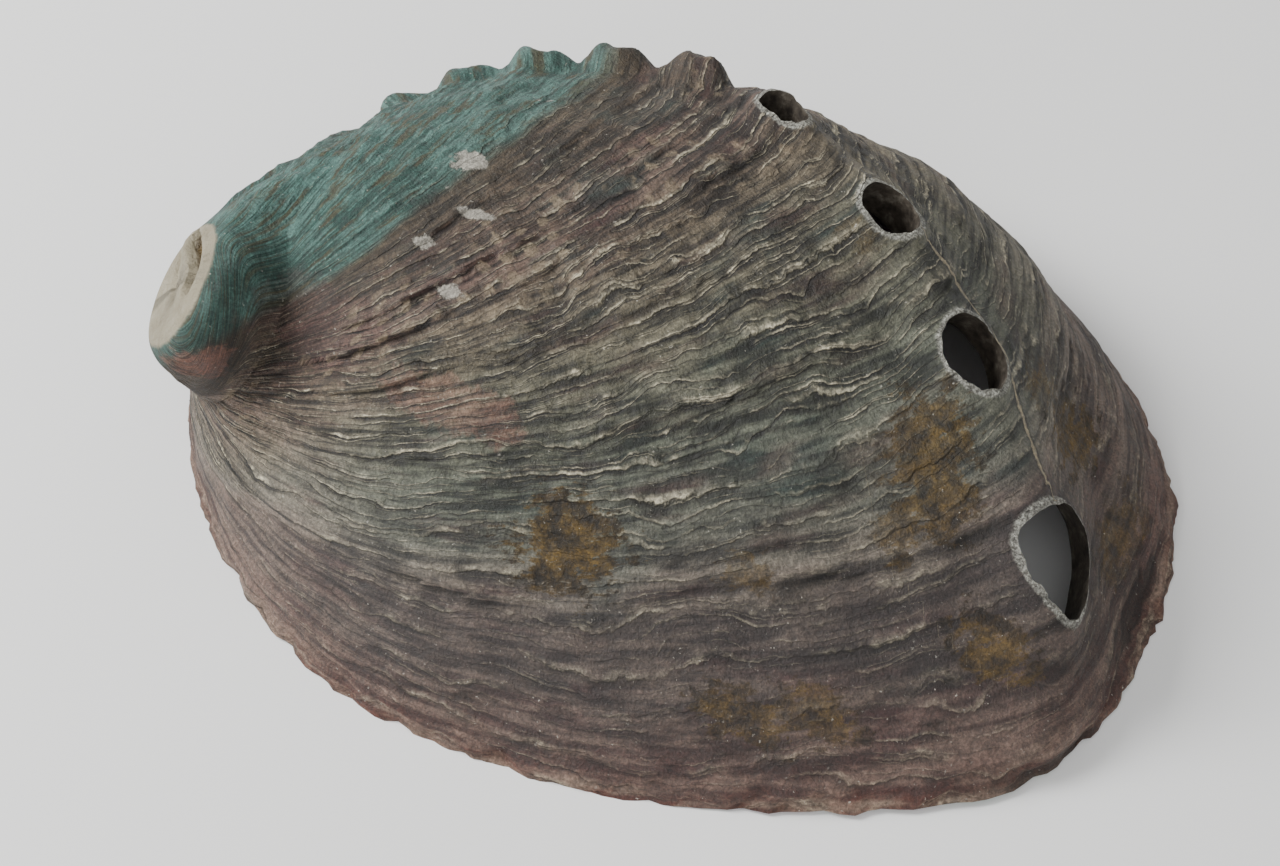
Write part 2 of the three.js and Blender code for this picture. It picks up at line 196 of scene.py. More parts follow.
heights = smooth_point(np.arange(0, 360, 3)[None] * DEG, np.linspace(0, 2, 80)[:, None])[..., 2]
print("highest point of the smooth outside, mm:", round(float(heights.max()), 1))

# %% [markdown]
# ## Age and direction of growth
# Lines and colours follow the rims of old, also over the cap, where the surface no longer does exactly.
# So each point there takes the age and the direction of the nearest point of the pure growth surface.

# %% Growth coordinates of a grid of points
OLDEST_LINE = 200
EVENING_ROUNDS = 12


def evened(line_direction, age, way):
    """Takes small steps out of the coordinates over the cap"""
    on_cap = np.broadcast_to(smooth(way, 0.98, 1.06), age.shape)
    turned = np.exp(1j * line_direction)
    for _ in range(EVENING_ROUNDS):
        for values in (turned, age):
            values[:, -1] = values[:, 0]
            mean = values.copy()
            mean[1:-1] = (values[:-2] + values[1:-1] + values[2:]) / 3
            around = mean[:, :-1]
            mean = (np.roll(around, 1, axis=1) + around + np.roll(around, -1, axis=1)) / 3
            values[:, :-1] += (mean - values[:, :-1]) * on_cap[:, :-1]
    return np.angle(turned), age


def growth_coordinates(direction, way, places):
    """Direction and age of growth, in radians, at each place of a grid"""
    age = body_age(direction) * np.minimum(way, 1)
    line_direction = np.broadcast_to(direction, age.shape).copy()
    directions = np.arange(0, 360, 1.5) * DEG
    ages = np.arange(0, OLDEST_LINE, 1.0) * DEG
    pure = grown_point(directions[None], ages[:, None]).reshape(-1, 3)
    tree = kdtree.KDTree(len(pure))
    for index, point in enumerate(pure.tolist()):
        tree.insert(point, index)
    tree.balance()
    rows, columns = np.nonzero(np.broadcast_to(way, age.shape) > 1)
    for row, column in zip(rows.tolist(), columns.tolist()):
        index = tree.find(places[row, column])[1]
        age[row, column] = ages[index // len(directions)]
        line_direction[row, column] = directions[index % len(directions)]
    return evened(line_direction, age, way)


# %% [markdown]
# ## Row of holes
# The shell breathes through holes along its crest. Each opened at the rim, and as new ones opened the old
# ones were filled from inside, so four are open and the older ones are low mounds with a closed pit.

# %% Holes and their places
ROW_DIRECTION = -14.2 * DEG
OPEN_ROW_DIRECTION = -20.5 * DEG
OPEN_HOLES = [
    dict(direction=-18.6, age=12.0, along=9.8, across=7.4, taper=0.36),
    dict(direction=-21.3, age=28.0, along=7.2, across=5.5, taper=0.1),
    dict(direction=-21.5, age=41.9, along=5.8, across=4.6, taper=0.0),
    dict(direction=-22.0, age=56.9, along=4.6, across=3.3, taper=0.0),
]
HEALED_HOLES = [
    dict(direction=-14.2, way=0.613, top=4.0, height=3.2),
    dict(direction=-14.2, way=0.714, top=4.2, height=3.0),
    dict(direction=-14.2, way=0.817, top=3.8, height=2.6),
    dict(direction=-14.2, way=0.93, top=3.4, height=2.4),
    dict(direction=-10.5, way=1.165, top=3.2, height=2.4),
    dict(direction=1.5, way=1.295, top=3.0, height=2.4),
    dict(direction=16.0, way=1.39, top=2.6, height=2.2),
]


def outside_frame(direction, way):
    """Place on the smooth outside, with the directions along the growth, across it and outwards"""
    out = outward_normal(direction, way)
    along = smooth_point(direction, way - SLOPE_STEP) - smooth_point(direction, way + SLOPE_STEP)
    along = unit(along - (along @ out) * out)
    return smooth_point(direction, way), along, np.cross(out, along), out


for hole in OPEN_HOLES:
    hole["way"] = hole["age"] * DEG / float(body_age(hole["direction"] * DEG))
for hole in OPEN_HOLES + HEALED_HOLES:
    direction, way = np.array(hole["direction"] * DEG), np.array(hole["way"])
    hole["place"], hole["forward"], hole["sideways"], hole["out"] = outside_frame(direction, way)
    print("hole at way", round(hole["way"], 3), "stands at", hole["place"].round(1).tolist())

# %% [markdown]
# ## Relief of the crust
# Growth stopped many times, and each pause left a lip that stands proud of the newer shell before it.
# Crossing them run fine cords. Sculpting such relief by hand would take weeks; a displacement texture
# could not follow the rims. So the relief is a sum of plain terms in the growth coordinates.

# %% Broad swellings, which the inside of the wall follows too
FLANK_BULGE = 3
FLANK_PLACE = 30
FLANK_SPREAD = 22
CREST_SLACK = -4
SLACK_WIDTH = 45
CAP_SLACK_WIDTH = 75
SEAM_FILL = 3


def broad_relief(direction, way):
    degrees = direction % FULL_TURN / DEG
    from_row = turn(direction, ROW_DIRECTION) / DEG
    flank = FLANK_BULGE * np.exp(-((from_row - FLANK_PLACE) / FLANK_SPREAD) ** 2) * smooth(way, 0.12, 0.22)
    flank = flank * (1 - smooth(way, 0.28, 0.42))
    widening = np.where(from_row < 0, smooth(way, 0.7, 1.1), 0)
    slack_width = SLACK_WIDTH + (CAP_SLACK_WIDTH - SLACK_WIDTH) * widening
    slack = CREST_SLACK * smooth(way, 0.45, 0.7) * np.exp(-(from_row / slack_width) ** 2)
    behind_spire = smooth(degrees, 115, 145) * (1 - smooth(degrees, 180, 205))
    seam = SEAM_FILL * behind_spire * smooth(way, 0.02, 0.2)
    return (flank + slack + seam) * (1 - smooth(way, 1.2, 1.9))


# %% Lips, cords and lumps
SEED = 5
RIDGE_HEIGHT = 2.6
RIDGE_SPREAD = 6
GROOVE_DEPTH = 2.2
GROOVE_PLACE = 19
GROOVE_SPREAD = 9
LIP_FLARE = 2.4
GREAT_LIPS = 15
GREAT_LIP_HEIGHT = 0.9
SMALL_LIPS = 64
SMALL_LIP_HEIGHT = 0.34
CORDS = 62
CORD_HEIGHT = 0.16
SWELL_HEIGHT = 0.9
LUMP_KINDS = [(0.3, 6, 3), (0.16, 2.2, 2)]
OLD_WEAR = 0.6
LIP_WANDER = 1.6 * DEG
SMALL_WANDER = 1.4
MEAN_LIP = 0.3
LIP_OFFSET = 7.3
SMALL_LIP_START = 40.0
OLDEST_LIP = 190
ROOMY_PACE = 0.55

random_numbers = np.random.default_rng(SEED)


def mottle(places, octaves=3):
    """Cloudy noise, about -1 to 1, at each place"""
    flat = [noise.fractal(Vector(place), 1.0, 2.0, octaves) for place in places.reshape(-1, 3).tolist()]
    return np.array(flat).reshape(places.shape[:-1])


def growth_vector(direction, age, around, across):
    """Coordinates that run with the growth lines: wide steps around, narrow ones across"""
    return np.stack([around * np.cos(direction), around * np.sin(direction), across * age], axis=-1)


def lip_ages(count):
    """Ages of the pauses, unevenly apart"""
    steps = random_numbers.uniform(0.45, 1.55, count)
    return np.append(0, np.cumsum(steps) / steps.sum()) * OLDEST_LIP * DEG


def lips(age, pauses, direction, raggedness):
    """0 at the root of each layer to 1 at its lip, fading in and out along the lip"""
    index = np.clip(np.searchsorted(pauses, age) - 1, 0, len(pauses) - 2)
    part = (age - pauses[index]) / (pauses[index + 1] - pauses[index])
    own_place = LIP_OFFSET * index + raggedness
    strength = mottle(np.stack([3 * np.cos(direction), 3 * np.sin(direction), own_place], axis=-1), 2)
    return (1 - part) * np.clip(0.55 + 0.9 * strength, 0, 1.2)


great_pauses = lip_ages(GREAT_LIPS)
small_pauses = lip_ages(SMALL_LIPS)
print("ages of the great lips:", (great_pauses / DEG).round().tolist())


def crest_direction(way):
    """The crest swings over between the open and the healed holes"""
    return OPEN_ROW_DIRECTION + (ROW_DIRECTION - OPEN_ROW_DIRECTION) * smooth(way, 0.5, 0.62)


def crust_relief(direction, way, line_direction, age, places):
    """Height of the outside above the smooth surface"""
    size = np.exp(-SHRINK_RATE * age)
    row_step = np.linalg.norm(np.gradient(places, axis=0), axis=-1)
    pace = row_step / np.maximum(np.gradient(age, axis=0), 1e-4) * DEG
    room = np.clip(pace / ROOMY_PACE, 0, 1)
    from_row = turn(direction, ROW_DIRECTION) / DEG
    ends = smooth(way, 0, 0.02) * (1 - smooth(way, 1.75, 1.97))
    from_crest = turn(direction, crest_direction(way)) / DEG
    ridge = RIDGE_HEIGHT * np.exp(-(from_crest / RIDGE_SPREAD) ** 2)
    groove = -GROOVE_DEPTH * np.exp(-((from_crest - GROOVE_PLACE) / GROOVE_SPREAD) ** 2)
    groove = groove * (1 - smooth(way, 0.15, 0.35))
    behind_row = smooth(from_row, 14, 34) * (1 - smooth(from_row, 70, 110))
    flare = LIP_FLARE * behind_row * (1 - smooth(way, 0.05, 0.2))
    wander = LIP_WANDER * mottle(growth_vector(line_direction, age, 2.2, 5), 4)
    great = lips(age + wander, great_pauses, line_direction, 0.0)
    great = GREAT_LIP_HEIGHT * (great - MEAN_LIP)
    small = lips(age + SMALL_WANDER * wander, small_pauses, line_direction, SMALL_LIP_START)
    small = SMALL_LIP_HEIGHT * (small - MEAN_LIP)
    cords = CORD_HEIGHT * np.sin(CORDS * line_direction) * smooth(age / DEG, 8, 50)
    swell = SWELL_HEIGHT * mottle(growth_vector(line_direction, age, 3, 7), 2) * smooth(way, 0.01, 0.1)
    lumps = sum(height * mottle(places / width, octaves) for height, width, octaves in LUMP_KINDS)
    worn = 1 - OLD_WEAR * smooth(age / DEG, 78, 90)
    fine = ((great + small) * worn + cords + swell) * np.sqrt(size) * room
    return ((ridge + groove) * np.sqrt(size) + fine + lumps * np.sqrt(size)) * ends + flare


# %% [markdown]
# ## Collars and mounds on the row
# Around each open hole the rim is turned up like a low chimney with a grainy edge. The healed holes are
# mounds with a shallow pit. Both are heights that depend on the distance from the middle of the hole.

# %% Collars and mounds
COLLAR_HEIGHT = 1.5
COLLAR_SPREAD = 4.2
COLLAR_EDGE = 1.5
HOLE_REACH = 12
MOUND_FOOT = 3.6
MOUND_PIT = 0.7
BRIM_HEIGHT = 0.6
USUAL_HALF_WIDTH = 5


def hole_distance(places, hole):
    """Distance outside the edge of a hole, about in millimetres, less than 0 inside it"""
    arm = places - hole["place"]
    forward = arm @ hole["forward"] / hole["along"]
    sideways = arm @ hole["sideways"] / hole["across"]
    height = arm @ hole["out"]
    narrowing = 1 - hole["taper"] * np.clip(forward, -1, 1.4)
    radius = 0.5 * (hole["along"] + hole["across"])
    distance = (np.sqrt(forward ** 2 + (sideways / narrowing) ** 2) - 1) * radius
    return np.where(np.abs(height) < HOLE_REACH, distance, FAR)


def collar_relief(places):
    total = np.zeros(places.shape[:-1])
    for hole in OPEN_HOLES:
        distance = hole_distance(places, hole)
        slope = np.exp(-(np.maximum(distance, 0) / COLLAR_SPREAD) ** 1.5)
        brim = BRIM_HEIGHT * (1 - smooth(distance, COLLAR_EDGE * 0.7, COLLAR_EDGE * 1.4))
        scale = math.sqrt(hole["across"] / USUAL_HALF_WIDTH)
        total = np.maximum(total, (COLLAR_HEIGHT * slope + brim) * scale)
    return total


def mound_relief(places):
    total = np.zeros(places.shape[:-1])
    for hole in HEALED_HOLES:
        arm = places - hole["place"]
        height = arm @ hole["out"]
        distance = np.linalg.norm(arm - height[..., None] * hole["out"], axis=-1)
        near = np.abs(height) < HOLE_REACH
        mound = hole["height"] * (1 - smooth(distance, 0.8 * hole["top"], hole["top"] + MOUND_FOOT))
        pit = MOUND_PIT * (1 - smooth(distance, 0.2 * hole["top"], 0.7 * hole["top"]))
        total = np.where(near, np.maximum(total, mound - pit), total)
    return total


# %% [markdown]
# ## Neck and folds
# The near side of the neck, between the dome and the spire's tip, is worn smoother than the rest, so half
# of the relief is taken off there. Soft folds run down from the mounds of the healed holes.

# %% Neck between the dome and the tip
NECK_DIRECTION = -145 * DEG
NECK_HALF_WIDTH = (20, 38)
NECK_START = (0.45, 0.62)
NECK_END = (1.86, 1.995)
NECK_WEAR = 0.5


def neck_share(direction, way):
    """1 on the near side of the neck between the dome and the tip, and 0 away from it"""
    degrees = np.abs(turn(direction, NECK_DIRECTION)) / DEG
    across = smooth(way, *NECK_START) * (1 - smooth(way, *NECK_END))
    return (1 - smooth(degrees, *NECK_HALF_WIDTH)) * across


# %% Folds below the mounds
FOLD_HEIGHT = 1.3
FOLD_AGES = [58.6, 70, 81.5, 95, 107.7, 119.3, 132.1]
FOLD_SPREAD = 3.6
FOLD_PLACE = -6
FOLD_LENGTH = 26


def fold_relief(direction, age):
    """Soft folds that run down from the mounds, along the growth lines"""
    from_row = turn(direction, ROW_DIRECTION) / DEG
    waves = [np.exp(-((age / DEG - fold) / FOLD_SPREAD) ** 2) for fold in FOLD_AGES]
    return FOLD_HEIGHT * np.max(waves, axis=0) * np.exp(-((from_row - FOLD_PLACE) / FOLD_LENGTH) ** 2)


# %% [markdown]
# ## The outside as one closed mesh
# A flat grid is added first. Its width stands for the directions round the rim and its length for the
# way from the bottom of the rim, over the outside, to the middle of the worn tip. Then every vertex is
# put in its place, and the seam and the two ends are merged, which leaves one closed skin.

# %% Rows and columns of the grid
COLUMNS = 300
END_CROWDING = 0.25
END_DIRECTION = 5 * DEG
DOUBLE_CROWDING = 0.24
DOUBLE_DIRECTION = 24 * DEG
UNDER_SHARES = [0.02, 0.35, 0.7, 0.9, 0.96]
EDGE_ROUNDING = 0.8
DISC_SHARES = [
    0.97, 0.92, 0.87, 0.82, 0.76, 0.7, 0.64, 0.58, 0.52, 0.46, 0.4, 0.33, 0.26, 0.18, 0.09, 0.0,
]

outside_ways = np.concatenate([
    [0, 0.003, 0.006],
    np.linspace(0.0095, 1, 212),
    np.linspace(1.016, 2, 50),
])


def column_directions(count):
    even = np.arange(count + 1) / count * FULL_TURN
    return (even - END_CROWDING * np.sin(even - END_DIRECTION)
            - DOUBLE_CROWDING * np.sin(2 * (even - DOUBLE_DIRECTION)))


# %% Bottom of the rim
def under_rows(directions):
    """Bottom of the rim, closed to the middle"""
    rows = []
    edge = rim_point(directions)
    outwards = np.stack([np.cos(directions), np.sin(directions), 0 * directions], axis=-1)
    inset = edge - EDGE_ROUNDING * outwards
    for share in UNDER_SHARES:
        rows.append(np.stack([inset[:, 0] * share, inset[:, 1] * share,
                              inset[:, 2] * share + (1 - share) * (RIM_LIFT / 2 - PLANED_OFF)], axis=-1))
    rows.append(inset)
    return np.array(rows)


# %% Worn disc with its slot and groove
SLOT_LINE = [(-8.2, 2.6), (-6.0, 4.0), (-3.5, 5.0), (-1.0, 5.8), (1.5, 6.0), (3.4, 5.0)]
SLOT_HALF_WIDTH = 1.9
SLOT_DEPTH = 2.4
SLOT_BRIM = 0.35
BRIM_PLACE = 1.0
BRIM_SPREAD = 0.8
GROOVE_LINE = [(-7, -1.8), (-2, -1.9), (3.1, -1.2)]
FINE_GROOVE_DEPTH = 0.5
DISHING = 0.5


def line_distance(disc_x, disc_y, line):
    """Distance from a line of several stretches"""
    best = np.full_like(disc_x, FAR)
    for start, end in zip(line[:-1], line[1:]):
        stretch = np.subtract(end, start)
        along = (disc_x - start[0]) * stretch[0] + (disc_y - start[1]) * stretch[1]
        share = np.clip(along / (stretch @ stretch), 0, 1)
        gap = np.hypot(disc_x - start[0] - share * stretch[0], disc_y - start[1] - share * stretch[1])
        best = np.minimum(best, gap)
    return best


def slot_depth(disc_x, disc_y):
    """Depth of the worn slot in the tip, with its brim, and of the fine groove beside it"""
    from_slot = line_distance(disc_x, disc_y, SLOT_LINE)
    slot = SLOT_DEPTH * (1 - smooth(from_slot, SLOT_HALF_WIDTH - 0.8, SLOT_HALF_WIDTH + 0.3))
    brim = SLOT_BRIM * np.exp(-((from_slot - SLOT_HALF_WIDTH - BRIM_PLACE) / BRIM_SPREAD) ** 2)
    groove = FINE_GROOVE_DEPTH * (1 - smooth(line_distance(disc_x, disc_y, GROOVE_LINE), 0.2, 0.9))
    return slot - brim + groove


def disc_rows(directions):
    rows = []
    angles = tip_angle(directions)
    for share in DISC_SHARES:
        disc_x = TIP_RADIUS * share * np.cos(angles)
        disc_y = TIP_RADIUS * share * np.sin(angles)
        depth = slot_depth(disc_x, disc_y) - DISHING * smooth(share, 1.0, 0.85)
        rows.append(tip_point(angles, TIP_RADIUS * share) - depth[:, None] * TIP_NORMAL)
    return np.array(rows)


# %% Places of the outside
CRUMBLE_DEPTH = 0.9
CRUMBLE_WIDTH = 5
CHIP_DEPTH = 1.2
CHIP_WIDTH = 2.4

directions = column_directions(COLUMNS)
ways = outside_ways[:, None]
smooth_places = smooth_point(directions[None], ways)
line_direction, line_age = growth_coordinates(directions[None], ways, smooth_places)
base = broad_relief(directions[None], ways)
relief = crust_relief(directions[None], ways, line_direction, line_age, smooth_places)
relief = relief * (1 - NECK_WEAR * neck_share(directions[None], ways))
normals = outward_normal(directions[None], np.minimum(ways, 2 - 2 * SLOPE_STEP))
swollen = smooth_places + (base + relief)[..., None] * normals
swollen = swollen + fold_relief(directions[None], line_age)[..., None] * normals
row_relief = collar_relief(swollen) + mound_relief(smooth_places + base[..., None] * normals)
places = swollen + row_relief[..., None] * normals
crumble = CRUMBLE_DEPTH * mottle(smooth_places / CRUMBLE_WIDTH, 3)
crumble += CHIP_DEPTH * np.minimum(mottle(smooth_places / CHIP_WIDTH, 2), 0)
crumble *= 1 - smooth(ways, 0.004, 0.04)
places[..., 0] += crumble * np.cos(directions)
places[..., 1] += crumble * np.sin(directions)
skin = np.concatenate([under_rows(directions), places, disc_rows(directions)])
skin[:, -1] = skin[:, 0]
print("skin grid:", skin.shape)
print("skin box, mm:", skin.min((0, 1)).round(1).tolist(), skin.max((0, 1)).round(1).tolist())

# %% Grid to closed skin
NO_GAP = 1e-6


def only_select(obj):
    bpy.ops.object.select_all(action="DESELECT")
    obj.select_set(True)
    bpy.context.view_layer.objects.active = obj


def closed_from_grid(name, rows):
    """Adds a flat grid, puts its vertices on the rows of places and merges its seam and ends"""
    row_count, column_count = rows.shape[:2]
    bpy.ops.object.select_all(action="DESELECT")
    cells = dict(x_subdivisions=column_count - 1, y_subdivisions=row_count - 1)
    bpy.ops.mesh.primitive_grid_add(size=1, **cells)
    piece = bpy.context.object
    piece.name = piece.data.name = name
    shifted = (rows + PLAN_SHIFT) * MM
    piece.data.vertices.foreach_set("co", shifted.reshape(-1, 3).astype(np.float32).ravel())
    bpy.ops.object.mode_set(mode="EDIT")
    bpy.ops.mesh.select_all(action="SELECT")
    bpy.ops.mesh.remove_doubles(threshold=NO_GAP)
    bpy.ops.mesh.normals_make_consistent(inside=False)
    bpy.ops.object.mode_set(mode="OBJECT")
    print(name, "has", len(piece.data.vertices), "vertices")
    return piece


for end in (0, -1):
    skin[end] = skin[end].mean(axis=0)
shell = closed_from_grid("shell_crust", skin)

# %% [markdown]
# ## Building materials
# Small helpers keep the materials short: each adds one node and returns the socket that comes out of it.

# %% Helpers for nodes
def node(tree, kind, inputs, output=0, **settings):
    """Adds a node and returns one of its outputs; an input is a value or the socket that feeds it"""
    made = tree.nodes.new(kind)
    for name, value in settings.items():
        setattr(made, name, value)
    for name, value in inputs.items():
        if isinstance(value, bpy.types.NodeSocket):
            tree.links.new(value, made.inputs[name])
        else:
            made.inputs[name].default_value = value
    return made.outputs[output]


def maths(tree, operation, first, second=0.0):
    return node(tree, "ShaderNodeMath", {0: first, 1: second}, operation=operation)


def times(tree, product, *others):
    for other in others:
        product = maths(tree, "MULTIPLY", product, other)
    return product


def plus(tree, first, second):
    return maths(tree, "ADD", first, second)


def minus(tree, first, second):
    return maths(tree, "SUBTRACT", first, second)


def opposite(tree, share):
    """1 where the share is 0, and 0 where it is 1"""
    return maths(tree, "SUBTRACT", 1.0, share)


def part_of(tree, vector, axis):
    return node(tree, "ShaderNodeSeparateXYZ", {0: vector}, axis)


def blend(tree, share, below, above, mode="MIX"):
    """Colour above laid over colour below"""
    return node(tree, "ShaderNodeMix", {0: share, 6: below, 7: above}, 2, data_type="RGBA", blend_type=mode)


def step(tree, value, start, end):
    """0 at start, 1 at end, and a soft step between them"""
    inputs = {"Value": value, "From Min": start, "From Max": end}
    return node(tree, "ShaderNodeMapRange", inputs, interpolation_type="SMOOTHSTEP")


def stretched(tree, vector, scale):
    return node(tree, "ShaderNodeVectorMath", {0: vector, 1: scale}, operation="MULTIPLY")


def cloud(tree, vector, scale, detail=3.0, roughness=0.5):
    inputs = {"Vector": vector, "Scale": scale, "Detail": detail, "Roughness": roughness}
    return node(tree, "ShaderNodeTexNoise", inputs)


def along_growth(tree, growth, around, across, detail=4.0, roughness=0.6):
    """Noise drawn out along the growth lines"""
    return cloud(tree, stretched(tree, growth, (around, around, across)), 1.0, detail, roughness)


def ramp(tree, value, stops):
    """Colour that changes with a value; each stop is a place and a colour"""
    made = tree.nodes.new("ShaderNodeValToRGB")
    tree.links.new(value, made.inputs[0])
    elements = made.color_ramp.elements
    while len(elements) < len(stops):
        elements.new(1.0)
    for element, (place, colour) in zip(elements, stops):
        element.position = place
        element.color = colour
    return made.outputs[0]


STUDIO_GAIN = 0.62


def paint(red, green, blue):
    """Colour from the 0 to 255 values of a screen, darkened for the bright studio light"""
    return (*[STUDIO_GAIN * (level / 255) ** 2.2 for level in (red, green, blue)], 1.0)


def attribute(tree, name, output="Vector"):
    return node(tree, "ShaderNodeAttribute", {}, output, attribute_name=name)


# %% [markdown]
# ## Shared effects
# Three effects are used many times over, so each is a node group. Each pause in growth left a ragged
# edge, so the growth lines repeat with age, bent by a long and a short wave, and each line comes and goes
# by a noise of its own. A line is a crevice painted dark as shade, then a thin cream edge that is partly
# the lip's pale colour and partly a painted highlight, then a slope that falls away to the next. A spot
# is a ragged patch round one point. Grain is the fine chalky speckle of old shell.

# %% Growth lines
def new_group(name, inputs, outputs):
    group = bpy.data.node_groups.new(name, "ShaderNodeTree")
    for socket_name, kind in inputs:
        group.interface.new_socket(socket_name, in_out="INPUT", socket_type=f"NodeSocket{kind}")
    for socket_name, kind in outputs:
        group.interface.new_socket(socket_name, in_out="OUTPUT", socket_type=f"NodeSocket{kind}")
    return group, group.nodes.new("NodeGroupInput").outputs, group.nodes.new("NodeGroupOutput").inputs


def use_group(tree, group, inputs, output=0):
    made = tree.nodes.new("ShaderNodeGroup")
    made.node_tree = group
    for name, value in inputs.items():
        if isinstance(value, bpy.types.NodeSocket):
            tree.links.new(value, made.inputs[name])
        else:
            made.inputs[name].default_value = value
    return made.outputs[output]


line_group, given, result = new_group(
    "growth_lines",
    [("Growth", "Vector"), ("Count", "Float"), ("Wave", "Float")],
    [("CreamHighlight", "Float"), ("CreviceShade", "Float"), ("Height", "Float")])
LONG_WAVE = 0.14
LINE_SEED_STEP = 7.3
age_here = part_of(line_group, given["Growth"], "Z")
long_wave = along_growth(line_group, given["Growth"], 2.6, 5, 2.0, 0.5)
short_wave = along_growth(line_group, given["Growth"], 15, 16)
long_part = times(line_group, long_wave, LONG_WAVE)
waves = plus(line_group, long_part, times(line_group, short_wave, given["Wave"]))
phase = times(line_group, plus(line_group, age_here, waves), given["Count"])
number = maths(line_group, "FLOOR", phase)
part = maths(line_group, "FRACT", phase)
along_line = stretched(line_group, given["Growth"], (4, 4, 0))
per_line = node(line_group, "ShaderNodeCombineXYZ", {"Z": times(line_group, number, LINE_SEED_STEP)})
line_place = node(line_group, "ShaderNodeVectorMath", {0: along_line, 1: per_line}, operation="ADD")
strength = step(line_group, cloud(line_group, line_place, 1.0, 4.0, 0.6), 0.42, 0.6)

# %% Profile across one line
BEHIND_LIP = 0.4
rise = step(line_group, part, 0.22, 0.27)
fall = opposite(line_group, step(line_group, part, 0.29, 0.44))
slow_fall = opposite(line_group, step(line_group, part, 0.27, 1.0))
dip = times(line_group, step(line_group, part, -0.06, 0.2), opposite(line_group, rise))
# The dip before each lip is painted dark as shade in its crevice; the cream band on the lip is partly the
# lip's pale colour and partly a painted highlight.
cream_highlight = times(line_group, rise, fall, strength)
crevice_shade = times(line_group, dip, strength)
ledge = times(line_group, rise, slow_fall)
lip = minus(line_group, ledge, times(line_group, dip, BEHIND_LIP))
line_group.links.new(cream_highlight, result["CreamHighlight"])
line_group.links.new(crevice_shade, result["CreviceShade"])
line_group.links.new(times(line_group, lip, strength), result["Height"])
print("growth_lines has", len(line_group.nodes), "nodes")

# %% Ragged spots
spot_group, given, result = new_group(
    "ragged_spot",
    [("Place", "Vector"), ("Size", "Vector"), ("Ragged", "Float")],
    [("Spot", "Float")])
here = node(spot_group, "ShaderNodeTexCoord", {}, "Object")
arm = node(spot_group, "ShaderNodeVectorMath", {0: here, 1: given["Place"]}, operation="SUBTRACT")
scaled = node(spot_group, "ShaderNodeVectorMath", {0: arm, 1: given["Size"]}, operation="DIVIDE")
distance = node(spot_group, "ShaderNodeVectorMath", {0: scaled}, "Value", operation="LENGTH")
ragged = plus(spot_group, distance, given["Ragged"])
inside = opposite(spot_group, step(spot_group, ragged, 0.75, 1.15))
spot_group.links.new(inside, result["Spot"])

# %% Chalky grain
COARSE_GRAIN = 700.0
SPECK_GRAIN = 1500.0
FINE_GRAIN = 2200.0
grain_group, given, result = new_group(
    "chalky_grain", [], [("Grain", "Float"), ("Fine", "Float"), ("Specks", "Float")])
here = node(grain_group, "ShaderNodeTexCoord", {}, "Object")
coarse = cloud(grain_group, here, COARSE_GRAIN, 5.0, 0.7)
grain_group.links.new(step(grain_group, coarse, 0.32, 0.68), result["Grain"])
fine = cloud(grain_group, here, FINE_GRAIN, 3.0, 0.7)
grain_group.links.new(step(grain_group, fine, 0.32, 0.68), result["Fine"])
chalk = cloud(grain_group, here, SPECK_GRAIN, 2.0, 0.5)
grain_group.links.new(step(grain_group, chalk, 0.68, 0.74), result["Specks"])
print("shared effects:", [group.name for group in (line_group, spot_group, grain_group)])

# %% [markdown]
# ## Crust
# The colours of the crust changed with what the animal ate, so they lie in zones of age: pale red at the
# rim, mauve, grey-green, purple-brown, and teal on the oldest part, where the crust is worn down. Over
# them lie cream edges, partly pale shell and partly a painted highlight, with painted shade in the
# crevices under them, ochre stains, a few chalky scars and the grainy rings round the open holes.

# %% Zones of age
OLDEST_PAINTED = 160
ZONE_DARK = [
    (0, paint(112, 72, 62)),
    (2, paint(84, 62, 57)),
    (8, paint(66, 58, 56)),
    (15, paint(70, 62, 60)),
    (17.5, paint(74, 68, 64)),
    (22, paint(64, 66, 60)),
    (30, paint(52, 55, 48)),
    (42, paint(50, 49, 41)),
    (54, paint(54, 47, 40)),
    (60, paint(54, 43, 38)),
    (70, paint(50, 42, 35)),
    (80, paint(54, 47, 38)),
    (83, paint(48, 78, 70)),
    (110, paint(44, 82, 74)),
    (150, paint(54, 82, 74)),
]
ZONE_LIGHT = [
    (0, paint(176, 150, 130)),
    (2, paint(138, 112, 100)),
    (8, paint(112, 98, 90)),
    (15, paint(112, 100, 92)),
    (17.5, paint(150, 138, 124)),
    (22, paint(126, 126, 112)),
    (30, paint(120, 124, 108)),
    (42, paint(130, 125, 104)),
    (54, paint(132, 118, 98)),
    (60, paint(126, 104, 91)),
    (70, paint(106, 90, 76)),
    (80, paint(98, 86, 70)),
    (83, paint(98, 134, 124)),
    (110, paint(100, 142, 132)),
    (150, paint(108, 136, 124)),
]


def grey(level):
    return (level, level, level, 1.0)


CREAM_AMOUNT = [
    (0, grey(0.3)), (8, grey(0.2)), (20, grey(0.4)), (30, grey(0.9)),
    (58, grey(1.0)), (66, grey(0.6)), (80, grey(0.25)), (86, grey(0.06)),
]
LINE_AMOUNT = [
    (0, grey(0.5)), (6, grey(0.4)), (18, grey(0.4)), (28, grey(0.9)),
    (60, grey(1.0)), (72, grey(0.6)), (82, grey(0.45)), (88, grey(0.12)),
]


def by_age(tree, age, stops):
    share = maths(tree, "DIVIDE", age, OLDEST_PAINTED * DEG)
    return ramp(tree, share, [(degrees / OLDEST_PAINTED, colour) for degrees, colour in stops])


ZONE_WOBBLE = 0.12
PATCH_SCALE = 70.0
PATCHINESS = 0.6

